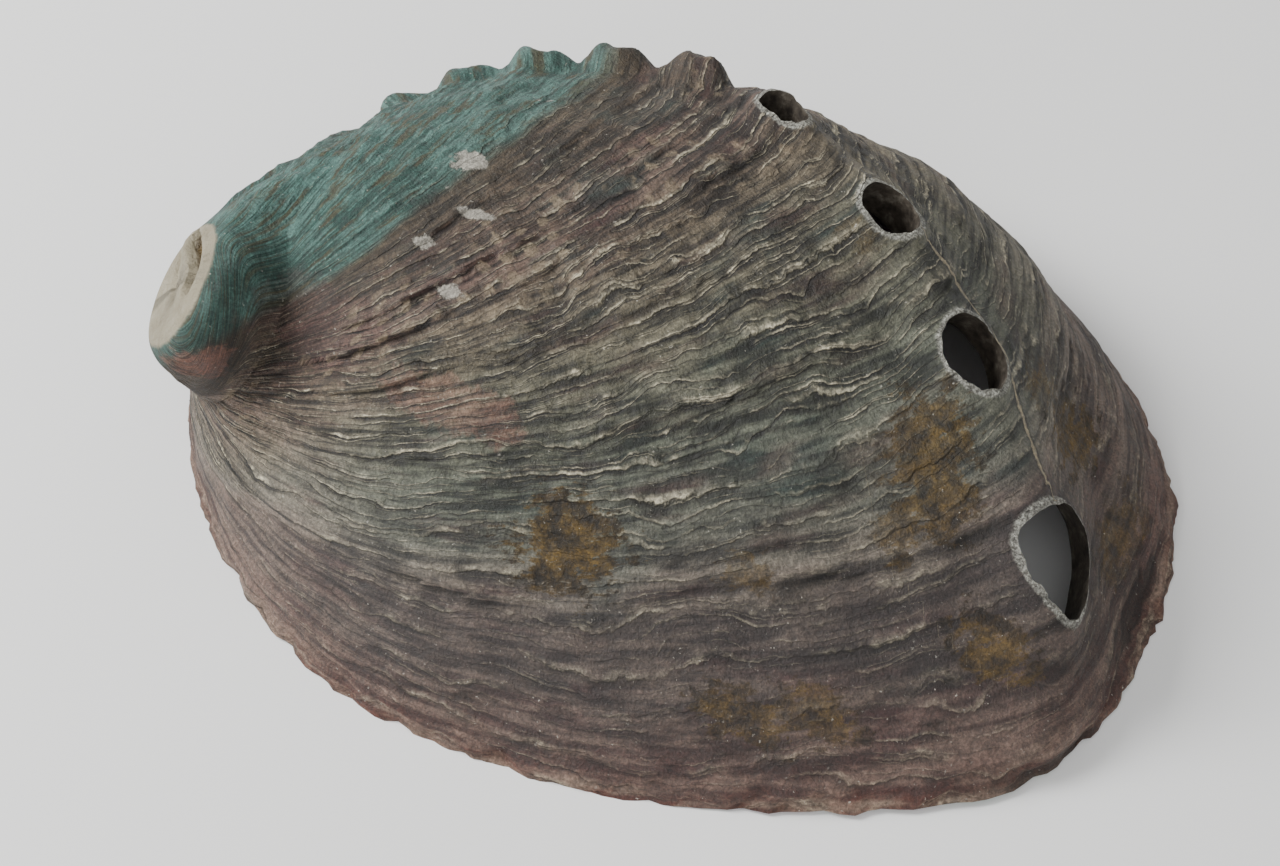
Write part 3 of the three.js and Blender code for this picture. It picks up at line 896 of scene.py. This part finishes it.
crust = bpy.data.materials.new("shell_crust")
crust.use_nodes = True
tree = crust.node_tree
growth = attribute(tree, "growth")
age = attribute(tree, "zone", "Fac")
place = node(tree, "ShaderNodeTexCoord", {}, "Object")
wobble = minus(tree, along_growth(tree, growth, 3, 9, 5.0), 0.5)
wavy_age = plus(tree, age, times(tree, wobble, ZONE_WOBBLE))
streaks = along_growth(tree, growth, 4, 60, 3.0, 0.55)
grain = tree.nodes.new("ShaderNodeGroup")
grain.node_tree = grain_group
patches = cloud(tree, place, PATCH_SCALE, 4.0, 0.6)
patchy = times(tree, minus(tree, patches, 0.5), PATCHINESS)
tone = step(tree, plus(tree, streaks, patchy), 0.36, 0.66)
colour = blend(tree, tone, by_age(tree, wavy_age, ZONE_DARK), by_age(tree, wavy_age, ZONE_LIGHT))
print("zones of age:", len(ZONE_DARK), "stops up to", OLDEST_PAINTED, "degrees")

# %% Tints that cross the zones
MAUVE = paint(112, 76, 74)
PALE_PINK = paint(196, 170, 150)
TEAL = paint(78, 108, 102)
OLIVE = paint(84, 76, 50)
OLDEST_TEAL_START = (78 * DEG, 84 * DEG)

body_only = opposite(tree, step(tree, wavy_age, *OLDEST_TEAL_START))
old_part = opposite(tree, body_only)
red_cloud = step(tree, along_growth(tree, growth, 2.2, 14), 0.5, 0.72)
colour = blend(tree, times(tree, red_cloud, body_only, 0.35), colour, MAUVE)
teal_cloud = step(tree, along_growth(tree, growth, 3.1, 10), 0.52, 0.75)
teal_zone = times(tree, step(tree, age, 12 * DEG, 20 * DEG), body_only)
colour = blend(tree, times(tree, teal_cloud, teal_zone, 0.28), colour, TEAL)
pale_share = times(tree, attribute(tree, "pale_side", "Fac"), step(tree, streaks, 0.25, 0.6))
colour = blend(tree, times(tree, pale_share, 0.26), colour, PALE_PINK)

# %% Tints near the tip
ROSE = paint(196, 132, 112)
LUMP_SCALE = 260.0
TIP_TINTS = [
    dict(place=(-64, -44.1, 36.6), size=(9, 6, 6), strength=0.6, tint=ROSE),
    dict(place=(-58, -46, 30), size=(9, 7, 5), strength=0.35, tint=PALE_PINK),
    dict(place=(-50, -30, 44), size=(16, 9, 6), strength=0.35, tint=MAUVE),
    dict(place=(-22, -36, 44), size=(14, 5, 5), strength=0.3, tint=ROSE),
]
lumpy = minus(tree, cloud(tree, place, LUMP_SCALE, 5.0, 0.7), 0.5)


def spot(tree, place, size, ragged):
    """Ragged spot round a place in millimetres"""
    local_place = tuple(float(value) * MM for value in np.array(place) + PLAN_SHIFT)
    local_size = tuple(value * MM for value in size)
    return use_group(tree, spot_group, {"Place": local_place, "Size": local_size, "Ragged": ragged})


callus_noise = times(tree, lumpy, 2.0)
streaky_share = step(tree, streaks, 0.2, 0.6)
for patch in TIP_TINTS:
    here = spot(tree, patch["place"], patch["size"], callus_noise)
    colour = blend(tree, times(tree, here, streaky_share, patch["strength"]), colour, patch["tint"])
olive_cloud = step(tree, along_growth(tree, growth, 3.4, 22, 5.0, 0.65), 0.5, 0.62)
colour = blend(tree, times(tree, olive_cloud, old_part, 0.8), colour, OLIVE)
print(len(TIP_TINTS), "tinted patches near the tip")

# %% Cream edges, partly a painted highlight, and painted shade in the crevices under them
CREAM = paint(250, 238, 204)
# Near-black colour of the painted shade in the crevices under the lips, in sunken relief and beside the
# crack.
CREVICE_SHADE_COLOUR = paint(26, 22, 19)
LINE_KINDS = [
    dict(count=15.0, wave=0.034, cream_highlight=0.9, crevice_shade=0.95, height=1.0),
    dict(count=37.0, wave=0.026, cream_highlight=0.7, crevice_shade=0.8, height=0.5),
    dict(count=84.0, wave=0.018, cream_highlight=0.5, crevice_shade=0.6, height=0.25),
]
STREAK_HEIGHT = 0.2
EDGE_HIGHLIGHT = 0.25
EDGE_CREVICE_SHADE = 0.7

cream_amount = by_age(tree, wavy_age, CREAM_AMOUNT)
line_amount = by_age(tree, wavy_age, LINE_AMOUNT)
broken = step(tree, along_growth(tree, growth, 9, 20, 4.0, 0.65), 0.38, 0.6)
broken = times(tree, broken, plus(tree, 0.35, grain.outputs["Grain"]))
broken_cream = times(tree, broken, cream_amount)
edge = attribute(tree, "edge", "Fac")
height = times(tree, streaks, STREAK_HEIGHT)
for kind in LINE_KINDS:
    lines = tree.nodes.new("ShaderNodeGroup")
    lines.node_tree = line_group
    tree.links.new(growth, lines.inputs["Growth"])
    lines.inputs["Count"].default_value = kind["count"]
    lines.inputs["Wave"].default_value = kind["wave"]
    crevice_shade_share = times(tree, lines.outputs["CreviceShade"], line_amount, kind["crevice_shade"])
    colour = blend(tree, crevice_shade_share, colour, CREVICE_SHADE_COLOUR)
    cream_share = times(tree, lines.outputs["CreamHighlight"], broken_cream, kind["cream_highlight"])
    colour = blend(tree, cream_share, colour, CREAM)
    line_height = times(tree, lines.outputs["Height"], line_amount, kind["height"])
    height = plus(tree, height, line_height)
# Relief that stands above its surroundings gets cream, partly the lips' pale colour and partly a painted
# highlight; relief that lies below them gets painted shade.
edge_highlight = times(tree, step(tree, edge, 0.1, 0.5), broken_cream)
colour = blend(tree, times(tree, edge_highlight, EDGE_HIGHLIGHT), colour, CREAM)
colour = blend(tree, times(tree, step(tree, edge, -0.05, -0.35), EDGE_CREVICE_SHADE), colour, CREVICE_SHADE_COLOUR)
print(len(LINE_KINDS), "sizes of growth line")

# %% Dots where the cords cross the lips
DOT_COLOUR = paint(178, 158, 128)
DOT_LIPS = 95.0
DOT_SCATTER = 5.0
DOT_START = (50 * DEG, 57 * DEG)
DOT_END = (66 * DEG, 74 * DEG)

angle = maths(tree, "ARCTAN2", part_of(tree, growth, "Y"), part_of(tree, growth, "X"))
cord_wave = maths(tree, "SINE", times(tree, angle, float(CORDS)))
lip_wave = maths(tree, "SINE", times(tree, wavy_age, DOT_LIPS))
scatter = times(tree, minus(tree, cloud(tree, place, 420.0, 4.0, 0.7), 0.5), DOT_SCATTER)
crossing = step(tree, plus(tree, plus(tree, cord_wave, lip_wave), scatter), 0.6, 1.6)
dot_zone = times(tree, step(tree, age, *DOT_START), opposite(tree, step(tree, age, *DOT_END)))
dot_patch = times(tree, step(tree, patches, 0.42, 0.6), dot_zone)
colour = blend(tree, times(tree, crossing, dot_patch, 0.5), colour, DOT_COLOUR)

# %% Ochre stains
OCHRE_DARK = paint(40, 31, 18)
OCHRE_LIGHT = paint(124, 98, 46)
STAINS = [
    dict(place=(1.7, -44, 30.6), size=(8.5, 8, 8), strength=1.0),
    dict(place=(48.4, -3.4, 36.7), size=(7, 9, 8), strength=0.85),
    dict(place=(52.7, -10.9, 32.1), size=(6, 8, 7), strength=0.85),
    dict(place=(49.5, -18.2, 30.4), size=(4, 5, 5), strength=0.7),
    dict(place=(67.9, 20.6, 22.4), size=(5, 9, 8), strength=0.9),
    dict(place=(59.6, 21.1, 29.6), size=(4, 6, 6), strength=0.6),
    dict(place=(80.6, 11.7, 11.8), size=(4, 11, 9), strength=0.6),
    dict(place=(69.3, -24.4, 16.6), size=(8, 6, 6), strength=0.85),
    dict(place=(36.4, -51.2, 12.7), size=(9, 3.5, 5), strength=0.75),
    dict(place=(47.8, -45.3, 12.8), size=(8, 3.5, 5), strength=0.7),
    dict(place=(30.6, -35.2, 28.4), size=(6, 3, 4), strength=0.6),
    dict(place=(24.8, 21.6, 49), size=(4, 3, 4), strength=0.5),
]
STAIN_COVER = 0.92
streaky = minus(tree, along_growth(tree, growth, 12, 50, 4.0, 0.7), 0.5)
stain_noise = times(tree, plus(tree, lumpy, streaky), 3.0)
stain = 0.0
for patch in STAINS:
    here = times(tree, spot(tree, patch["place"], patch["size"], stain_noise), patch["strength"])
    stain = maths(tree, "MAXIMUM", stain, here)
ochre = blend(tree, step(tree, plus(tree, lumpy, 0.5), 0.35, 0.65), OCHRE_DARK, OCHRE_LIGHT)
colour = blend(tree, times(tree, stain, STAIN_COVER), colour, ochre)

# %% Chalky scars
SCAR = paint(196, 190, 176)
SCARS = [
    dict(place=(-39.8, 4.2, 56.4), size=(2.9, 2.3, 3)),
    dict(place=(-38.8, -13.8, 54.2), size=(2.0, 1.5, 2)),
    dict(place=(-30.8, -20.1, 51.7), size=(2.6, 1.2, 2)),
    dict(place=(-37.9, 26.5, 53.7), size=(2.8, 1.0, 2)),
    dict(place=(-33.3, -6, 55.7), size=(4.2, 0.9, 2)),
]
SCAR_COVER = 0.9
scar_noise = times(tree, lumpy, 3.2)
scar = 0.0
for patch in SCARS:
    scar = maths(tree, "MAXIMUM", scar, spot(tree, patch["place"], patch["size"], scar_noise))
colour = blend(tree, times(tree, scar, SCAR_COVER), colour, SCAR)
print(len(STAINS), "stains and", len(SCARS), "scars")

# %% Rings round the holes
RING_DARK = paint(112, 108, 100)
RING_LIGHT = paint(198, 198, 186)
RING_COVER = 0.85
RING_RAGGEDNESS = 1.2
ragged_edge = plus(tree, attribute(tree, "hole_edge", "Fac"), times(tree, lumpy, RING_RAGGEDNESS))
ring = opposite(tree, step(tree, ragged_edge, 0.8, 1.4))
ring_colour = blend(tree, grain.outputs["Fine"], RING_DARK, RING_LIGHT)
colour = blend(tree, times(tree, ring, RING_COVER), colour, ring_colour)

# %% Crack along the crest
CRACK_LIGHT = paint(206, 190, 156)
CRACK_RAGGEDNESS = 2.4
crack = plus(tree, attribute(tree, "crack", "Fac"), times(tree, lumpy, CRACK_RAGGEDNESS))
crack = maths(tree, "ABSOLUTE", crack)
crack_line = opposite(tree, step(tree, crack, 0.1, 0.45))
crack_shade = opposite(tree, step(tree, crack, 0.3, 1.1))
# The band beside the crack is painted shade; the light line is the crack's own pale colour.
colour = blend(tree, times(tree, crack_shade, 0.6), colour, CREVICE_SHADE_COLOUR)
colour = blend(tree, times(tree, crack_line, 0.8), colour, CRACK_LIGHT)

# %% Specks and grain over all of it
SPECK = paint(220, 214, 200)
GRAIN_DEPTH = 0.3
colour = blend(tree, times(tree, grain.outputs["Specks"], broken, 0.6), colour, SPECK)
for level in (grain.outputs["Grain"], grain.outputs["Fine"]):
    inputs = {"Value": level, "To Min": 1 - GRAIN_DEPTH, "To Max": 1 + GRAIN_DEPTH}
    colour = blend(tree, 1.0, colour, node(tree, "ShaderNodeMapRange", inputs), "MULTIPLY")

# %% Worn tip
TIP_CREAM = paint(214, 204, 176)
TIP_SHADE = paint(150, 138, 110)
TIP_SLOT = paint(140, 118, 74)
SLOT_SHADE = paint(84, 68, 42)
TIP_RAGGEDNESS = 1.4
tip_place = attribute(tree, "tip")
tip_height = part_of(tree, tip_place, "Z")
on_plane = stretched(tree, tip_place, (1, 1, 0))
from_centre = node(tree, "ShaderNodeVectorMath", {0: on_plane}, "Value", operation="LENGTH")
ragged_radius = plus(tree, from_centre, times(tree, lumpy, TIP_RAGGEDNESS))
on_disc = opposite(tree, step(tree, ragged_radius, TIP_RADIUS - 0.2, TIP_RADIUS + 0.6))
on_disc = times(tree, on_disc, step(tree, tip_height, -5.0, -3.0))
sunk = step(tree, tip_height, -0.6, -1.7)
worn = blend(tree, cloud(tree, place, 200.0, 4.0, 0.6), TIP_SHADE, TIP_CREAM)
worn = blend(tree, sunk, worn, TIP_SLOT)
# The slot's wall, between the disc and the slot's floor, is painted darker as shade.
above_floor = opposite(tree, step(tree, tip_height, -1.5, -2.1))
slot_wall_shade = times(tree, step(tree, tip_height, -0.55, -0.9), above_floor)
worn = blend(tree, times(tree, slot_wall_shade, 0.6), worn, SLOT_SHADE)
colour = blend(tree, on_disc, colour, worn)

# %% Crust's shader
DRY_ROUGHNESS = 0.55
GRAIN_ROUGHNESS = 0.25
SLOT_GLOSS = 0.45
HEIGHT_SHARES = [(grain.outputs["Grain"], 0.22), (grain.outputs["Fine"], 0.14), (lumpy, 0.5), (scar, -0.4)]

shader = tree.nodes["Principled BSDF"]
tree.links.new(colour, shader.inputs["Base Color"])
gloss = times(tree, on_disc, sunk, SLOT_GLOSS)
dry = plus(tree, DRY_ROUGHNESS, times(tree, grain.outputs["Grain"], GRAIN_ROUGHNESS))
tree.links.new(minus(tree, dry, gloss), shader.inputs["Roughness"])
for level, share in HEIGHT_SHARES:
    height = plus(tree, height, times(tree, level, share))
normal = node(tree, "ShaderNodeBump", {"Strength": 1.0, "Distance": 0.0009, "Height": height})
tree.links.new(normal, shader.inputs["Normal"])
print("crust material:", len(tree.nodes), "nodes")

# %% [markdown]
# ## Nacre
# The inside is lined with mother-of-pearl: silvery, with drifting pink, green and blue. A thin clear coat
# gives its gloss, and a thin film its play of colour.

# %% Nacre
PEARL_COLOURS = [
    (0.30, paint(150, 190, 182)),
    (0.40, paint(196, 206, 204)),
    (0.47, paint(214, 184, 196)),
    (0.53, paint(218, 216, 210)),
    (0.60, paint(160, 196, 174)),
    (0.68, paint(176, 186, 214)),
    (0.78, paint(206, 178, 190)),
]

nacre = bpy.data.materials.new("shell_nacre")
nacre.use_nodes = True
tree = nacre.node_tree
place = node(tree, "ShaderNodeTexCoord", {}, "Object")
growth = attribute(tree, "growth")
drift = cloud(tree, place, 34.0, 5.0, 0.6)
fine_drift = along_growth(tree, growth, 4, 30)
mixed = plus(tree, times(tree, drift, 0.65), times(tree, fine_drift, 0.35))
pearl = ramp(tree, mixed, PEARL_COLOURS)
shader = tree.nodes["Principled BSDF"]
tree.links.new(pearl, shader.inputs["Base Color"])
shader.inputs["Metallic"].default_value = 0.35
shader.inputs["Roughness"].default_value = 0.24
shader.inputs["Coat Weight"].default_value = 0.6
shader.inputs["Coat Roughness"].default_value = 0.08
shader.inputs["Thin Film Thickness"].default_value = 380.0
ripples = plus(tree, times(tree, fine_drift, 0.6), cloud(tree, place, 120.0, 3.0, 0.5))
normal = node(tree, "ShaderNodeBump", {"Strength": 0.5, "Distance": 0.0008, "Height": ripples})
tree.links.new(normal, shader.inputs["Normal"])
print("nacre material:", len(tree.nodes), "nodes")

# %% Walls of the holes
# The walls of the open holes are painted dark, as shade inside the holes, with a mottle that also gives
# their bump.
WALL_SHADE_COLOURS = [(0.35, paint(52, 46, 40)), (0.55, paint(92, 84, 74)), (0.7, paint(134, 128, 116))]

shaded_hole_wall = bpy.data.materials.new("shaded_hole_wall")
shaded_hole_wall.use_nodes = True
tree = shaded_hole_wall.node_tree
place = node(tree, "ShaderNodeTexCoord", {}, "Object")
wall_mottle = cloud(tree, place, 500.0, 5.0, 0.65)
shader = tree.nodes["Principled BSDF"]
tree.links.new(ramp(tree, wall_mottle, WALL_SHADE_COLOURS), shader.inputs["Base Color"])
shader.inputs["Roughness"].default_value = 0.6
normal = node(tree, "ShaderNodeBump", {"Strength": 0.6, "Distance": 0.0005, "Height": wall_mottle})
tree.links.new(normal, shader.inputs["Normal"])
print("hole wall material:", len(tree.nodes), "nodes")

# %% [markdown]
# ## Hollow, holes and flat spots
# The animal lived in the hollow under the dome. It is cut out with a body that follows the outside at
# the wall's thickness, and each open hole with a tapered cylinder. A block under the ground planes the
# rim's three resting spots flat. One Boolean modifier per cut does all of it, and each is applied.

# %% Body of the hollow
WALL = 4
BACK_CALLUS = 10
EDGE_WIDTH = 2.6
SHELF_WIDTH = 8
BACK_SHELF_WIDTH = 16
MOUTH_HEIGHT = 1.2
LEAST_RISE = 14
BELOW_RIM = 6
HOLLOW_COLUMNS = 128
HOLLOW_REACH = 0.5
HOLLOW_TAPER = 0.4
CENTRE_SHARE = 0.01
NO_WIDTH = 1e-6


def mouth_inset(direction):
    degrees = direction % FULL_TURN / DEG
    left = smooth(degrees, 180, 215) * (1 - smooth(degrees, 270, 320))
    back = smooth(degrees, 95, 140) * (1 - smooth(degrees, 180, 215))
    return EDGE_WIDTH + (SHELF_WIDTH - EDGE_WIDTH) * left + (BACK_SHELF_WIDTH - EDGE_WIDTH) * back


def inner_point(direction, way):
    depth = broad_relief(direction, way) - WALL
    point = smooth_point(direction, way) + depth[..., None] * outward_normal(direction, way)
    degrees = direction % FULL_TURN / DEG
    callus = BACK_CALLUS * smooth(degrees, 60, 130) * (1 - smooth(degrees, 185, 230))
    flat = point * [1, 1, 0]
    point = point - callus[..., None] * unit(flat)
    point[..., 2] = np.maximum(point[..., 2], MOUTH_HEIGHT + LEAST_RISE * way)
    return point


def hollow_rows():
    directions = column_directions(HOLLOW_COLUMNS)
    radius = rim_radius(directions) - mouth_inset(directions)
    mouth = np.stack([radius * np.cos(directions), radius * np.sin(directions), 0 * radius], axis=-1)
    bottom = mouth - [0, 0, BELOW_RIM]
    rows = [bottom * [CENTRE_SHARE, CENTRE_SHARE, 1], bottom, mouth + [0, 0, MOUTH_HEIGHT]]
    for way in np.linspace(0.05, 0.8, 26):
        rows.append(inner_point(directions, np.full_like(directions, way)))
    last = rows[-1]
    centre = last[:-1].mean(axis=0)
    reach = (TIP_CENTRE - centre) * HOLLOW_REACH
    for part in np.linspace(0.12, 1, 10):
        width = math.sqrt(max(1 - part * part, 0)) * (1 - HOLLOW_TAPER * part) + NO_WIDTH
        rows.append((last - centre) * width + centre + reach * part)
    rows = np.array(rows)
    rows[0] = rows[0][:-1].mean(axis=0)
    rows[-1] = rows[-1][:-1].mean(axis=0)
    rows[:, -1] = rows[:, 0]
    return rows


hollow = closed_from_grid("hollow_cutter", hollow_rows())

# %% Tapered cylinders through the open holes
TUNNEL_LENGTH = 24
TUNNEL_SIDES = 56
INNER_FLARE = 1.1
MOUTH_LEVEL = 4
TUNNEL_RAGGEDNESS = 0.05


def tunnel(hole, number):
    bpy.ops.object.select_all(action="DESELECT")
    bpy.ops.mesh.primitive_cylinder_add(vertices=TUNNEL_SIDES, radius=1, depth=TUNNEL_LENGTH)
    cutter = bpy.context.object
    cutter.name = f"tunnel_cutter_{number}"
    for vertex in cutter.data.vertices:
        forward, sideways, height = vertex.co
        widening = 1 + INNER_FLARE * (MOUTH_LEVEL - height) / TUNNEL_LENGTH
        ragged = noise.noise(Vector((3 * forward, 3 * sideways, hole["age"])))
        raggedness = 1 + TUNNEL_RAGGEDNESS * ragged
        place = hole["place"] + hole["out"] * height
        place = place + hole["forward"] * forward * hole["along"] * widening * raggedness
        narrowing = 1 - hole["taper"] * forward
        place = place + hole["sideways"] * sideways * hole["across"] * narrowing * widening * raggedness
        vertex.co = Vector((place + PLAN_SHIFT) * MM)
    bpy.ops.object.mode_set(mode="EDIT")
    bpy.ops.mesh.select_all(action="SELECT")
    bpy.ops.mesh.normals_make_consistent(inside=False)
    bpy.ops.object.mode_set(mode="OBJECT")
    return cutter


tunnels = [tunnel(hole, number) for number, hole in enumerate(OPEN_HOLES)]

# %% Cut with Boolean modifiers
GROUND_DEPTH = 20
GROUND_WIDTH = 300


def cut(piece, cutter):
    modifier = piece.modifiers.new("cut", "BOOLEAN")
    modifier.operation = "DIFFERENCE"
    modifier.solver = "EXACT"
    modifier.object = cutter
    modifier.material_mode = "TRANSFER"
    only_select(piece)
    bpy.ops.object.modifier_apply(modifier=modifier.name)
    bpy.data.objects.remove(cutter)


shell.data.materials.append(crust)
hollow.data.materials.append(nacre)
for cutter in tunnels:
    cutter.data.materials.append(shaded_hole_wall)
bpy.ops.object.select_all(action="DESELECT")
block_size = Vector((GROUND_WIDTH, GROUND_WIDTH, GROUND_DEPTH)) * MM
block_place = (0, 0, -GROUND_DEPTH / 2 * MM)
bpy.ops.mesh.primitive_cube_add(size=1, location=block_place, scale=block_size)
ground = bpy.context.object
ground.data.materials.append(crust)
for cutter in [hollow, *tunnels, ground]:
    cut(shell, cutter)
triangles = sum(len(face.vertices) - 2 for face in shell.data.polygons)
print("after the cuts:", len(shell.data.vertices), "vertices,", triangles, "triangles")

# %% Nacre on the bottom of the rim
UNDERSIDE_SLOPE = -0.8
UNDERSIDE_LEVEL = 3
nacre_slot = [material.name for material in shell.data.materials].index(nacre.name)
underside = [face for face in shell.data.polygons
             if face.normal.z < UNDERSIDE_SLOPE and face.center.z < UNDERSIDE_LEVEL * MM]
for face in underside:
    face.material_index = nacre_slot
print(len(underside), "faces under the rim are nacre")

# %% [markdown]
# ## What the colours need to know
# The colours follow the growth of the shell, so each vertex gets its growth coordinates, and a few
# distances that change evenly over the surface: how far it lies from the edge of a hole, from the crack on
# the crest and across the worn tip. The cuts made new vertices, so each one takes its values from the
# nearest point of the grid that the skin was made of. Near the tip the teal starts at a tilted plane.

# %% Attributes on the vertices
TEAL_NORMAL = np.array([-0.679, 0.320, 0.661])
TEAL_LEVEL = 60.2
EDGE_ROWS = 4
TEAL_PACE = 1.6
TEAL_AGE = 82
NEAR_TIP = (24, 44)
BACK_PALENESS = 0.9
CRACK_LINE = np.array([(35.7, 27.3), (48.5, 21.5), (56.5, 13.6), (63.6, 5.8), (67.8, 1.9)])


def crack_distance(places):
    """Signed distance in plan from the crack along the crest, in millimetres"""
    best = np.full(places.shape[:-1], FAR)
    for start, end in zip(CRACK_LINE[:-1], CRACK_LINE[1:]):
        arm = places[..., :2] - start
        stretch = end - start
        share = np.clip((arm @ stretch) / (stretch @ stretch), 0, 1)
        gap = arm - share[..., None] * stretch
        side = np.sign(stretch[0] * arm[..., 1] - stretch[1] * arm[..., 0])
        distance = np.linalg.norm(gap, axis=-1) * side
        best = np.where(np.abs(distance) < np.abs(best), distance, best)
    return best


def softened(values, rows):
    """Mean over this many rows before and after"""
    padded = np.concatenate([values[:1].repeat(rows, axis=0), values, values[-1:].repeat(rows, axis=0)])
    sums = np.cumsum(np.concatenate([padded[:1] * 0, padded]), axis=0)
    return (sums[2 * rows + 1:] - sums[:-2 * rows - 1]) / (2 * rows + 1)


def over_skin(values, before, after):
    """Values of the outside, with the same for all of the bottom and for all of the disc"""
    under = np.broadcast_to(before, (len(UNDER_SHARES) + 1, COLUMNS + 1))
    disc = np.broadcast_to(after, (len(DISC_SHARES), COLUMNS + 1))
    return np.concatenate([under, values, disc])


edge_height = relief - softened(relief, EDGE_ROWS)
skin_age = over_skin(line_age, 0.0, line_age[-1:])
skin_direction = over_skin(line_direction, line_direction[:1], line_direction[-1:])
skin_edge = over_skin(edge_height, 0.0, 0.0)


def nearest_on_skin(piece):
    """Index of the nearest grid point for each vertex, and the vertices' places in millimetres"""
    grid_points = skin.reshape(-1, 3)
    tree = kdtree.KDTree(len(grid_points))
    for index, point in enumerate(grid_points.tolist()):
        tree.insert(point, index)
    tree.balance()
    spots = np.empty(len(piece.data.vertices) * 3, dtype=np.float32)
    piece.data.vertices.foreach_get("co", spots)
    spots = spots.reshape(-1, 3) / MM - PLAN_SHIFT
    return np.array([tree.find(spot)[1] for spot in spots.tolist()]), spots


def store(piece, name, values):
    """Writes a float or vector attribute on the vertices"""
    kind, key = ("FLOAT_VECTOR", "vector") if values.ndim == 2 else ("FLOAT", "value")
    attribute = piece.data.attributes.new(name, kind, "POINT")
    attribute.data.foreach_set(key, values.astype(np.float32).ravel())


nearest, spots = nearest_on_skin(shell)
direction_there = skin_direction.ravel()[nearest]
age_there = skin_age.ravel()[nearest]
store(shell, "growth", np.stack([np.cos(direction_there), np.sin(direction_there), age_there], axis=-1))
near_tip = 1 - smooth(np.linalg.norm(spots - TIP_CENTRE, axis=-1), *NEAR_TIP)
tip_zone = (TEAL_AGE + TEAL_PACE * (spots @ TEAL_NORMAL - TEAL_LEVEL)) * DEG
store(shell, "zone", age_there + (tip_zone - age_there) * near_tip)
degrees_there = turn(direction_there, 0.0) / DEG
left_side = smooth(-degrees_there, 112, 140) * (1 - smooth(age_there / DEG, 30, 60))
back_side = smooth(turn(direction_there, -10 * DEG) / DEG, 0, 25) * smooth(age_there / DEG, 3, 10)
store(shell, "pale_side", left_side + BACK_PALENESS * back_side)
store(shell, "edge", skin_edge.ravel()[nearest])
hole_edge = np.min([hole_distance(spots, hole) for hole in OPEN_HOLES], axis=0)
store(shell, "hole_edge", np.minimum(hole_edge, FAR))
store(shell, "crack", crack_distance(spots))
tip_arm = spots - TIP_CENTRE
store(shell, "tip", np.stack([tip_arm @ TIP_SIDE, tip_arm @ TIP_UP, tip_arm @ TIP_NORMAL], axis=-1))
print("attributes:", [attribute.name for attribute in shell.data.attributes])

# %% Smooth shading
CREASE = 50 * DEG
only_select(shell)
bpy.ops.object.shade_smooth_by_angle(angle=CREASE)

# %% [markdown]
# ## Floor, light and camera
# The photograph was taken from the growing side, above and to the right, under soft light.

# %% Floor
bpy.ops.object.select_all(action="DESELECT")
bpy.ops.mesh.primitive_plane_add(size=3)
floor = bpy.context.object
floor.name = "floor"
floor_paint = bpy.data.materials.new("pale_floor")
floor_paint.use_nodes = True
floor_paint.node_tree.nodes["Principled BSDF"].inputs["Base Color"].default_value = (0.88, 0.88, 0.87, 1)
floor.data.materials.append(floor_paint)

# %% Lights
def soft_light(name, place, size, power, aim=(0, 0, 0.02)):
    light = bpy.data.lights.new(name, "AREA")
    light.size = size
    light.energy = power
    lamp = bpy.data.objects.new(name, light)
    lamp.location = place
    lamp.rotation_euler = (Vector(aim) - Vector(place)).to_track_quat("-Z", "Y").to_euler()
    bpy.context.collection.objects.link(lamp)


soft_light("key", (-0.85, -0.15, 0.7), 0.5, 18)
soft_light("fill", (0.3, -0.9, 0.9), 1.2, 7)
sky = bpy.data.worlds.new("studio")
bpy.context.scene.world = sky
sky.use_nodes = True
sky.node_tree.nodes["Background"].inputs["Color"].default_value = (1, 1, 1, 1)
sky.node_tree.nodes["Background"].inputs["Strength"].default_value = 0.55

# %% Camera
AZIMUTH = 25.5 * DEG
ELEVATION = 52.15 * DEG
DISTANCE = 446.5
TARGET = Vector((-3.5, -2.15, 7.0))
back = Vector((
    math.sin(AZIMUTH) * math.cos(ELEVATION),
    -math.cos(AZIMUTH) * math.cos(ELEVATION),
    math.sin(ELEVATION),
))
camera_data = bpy.data.cameras.new("camera")
camera_data.lens = 70
camera_data.sensor_width = 36
camera_data.clip_start = 0.01
camera = bpy.data.objects.new("camera", camera_data)
camera.location = (TARGET + back * DISTANCE) * MM
camera.rotation_euler = back.to_track_quat("Z", "Y").to_euler()
bpy.context.collection.objects.link(camera)
bpy.context.scene.camera = camera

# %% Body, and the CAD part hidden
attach(shell, "root")
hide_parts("shell")
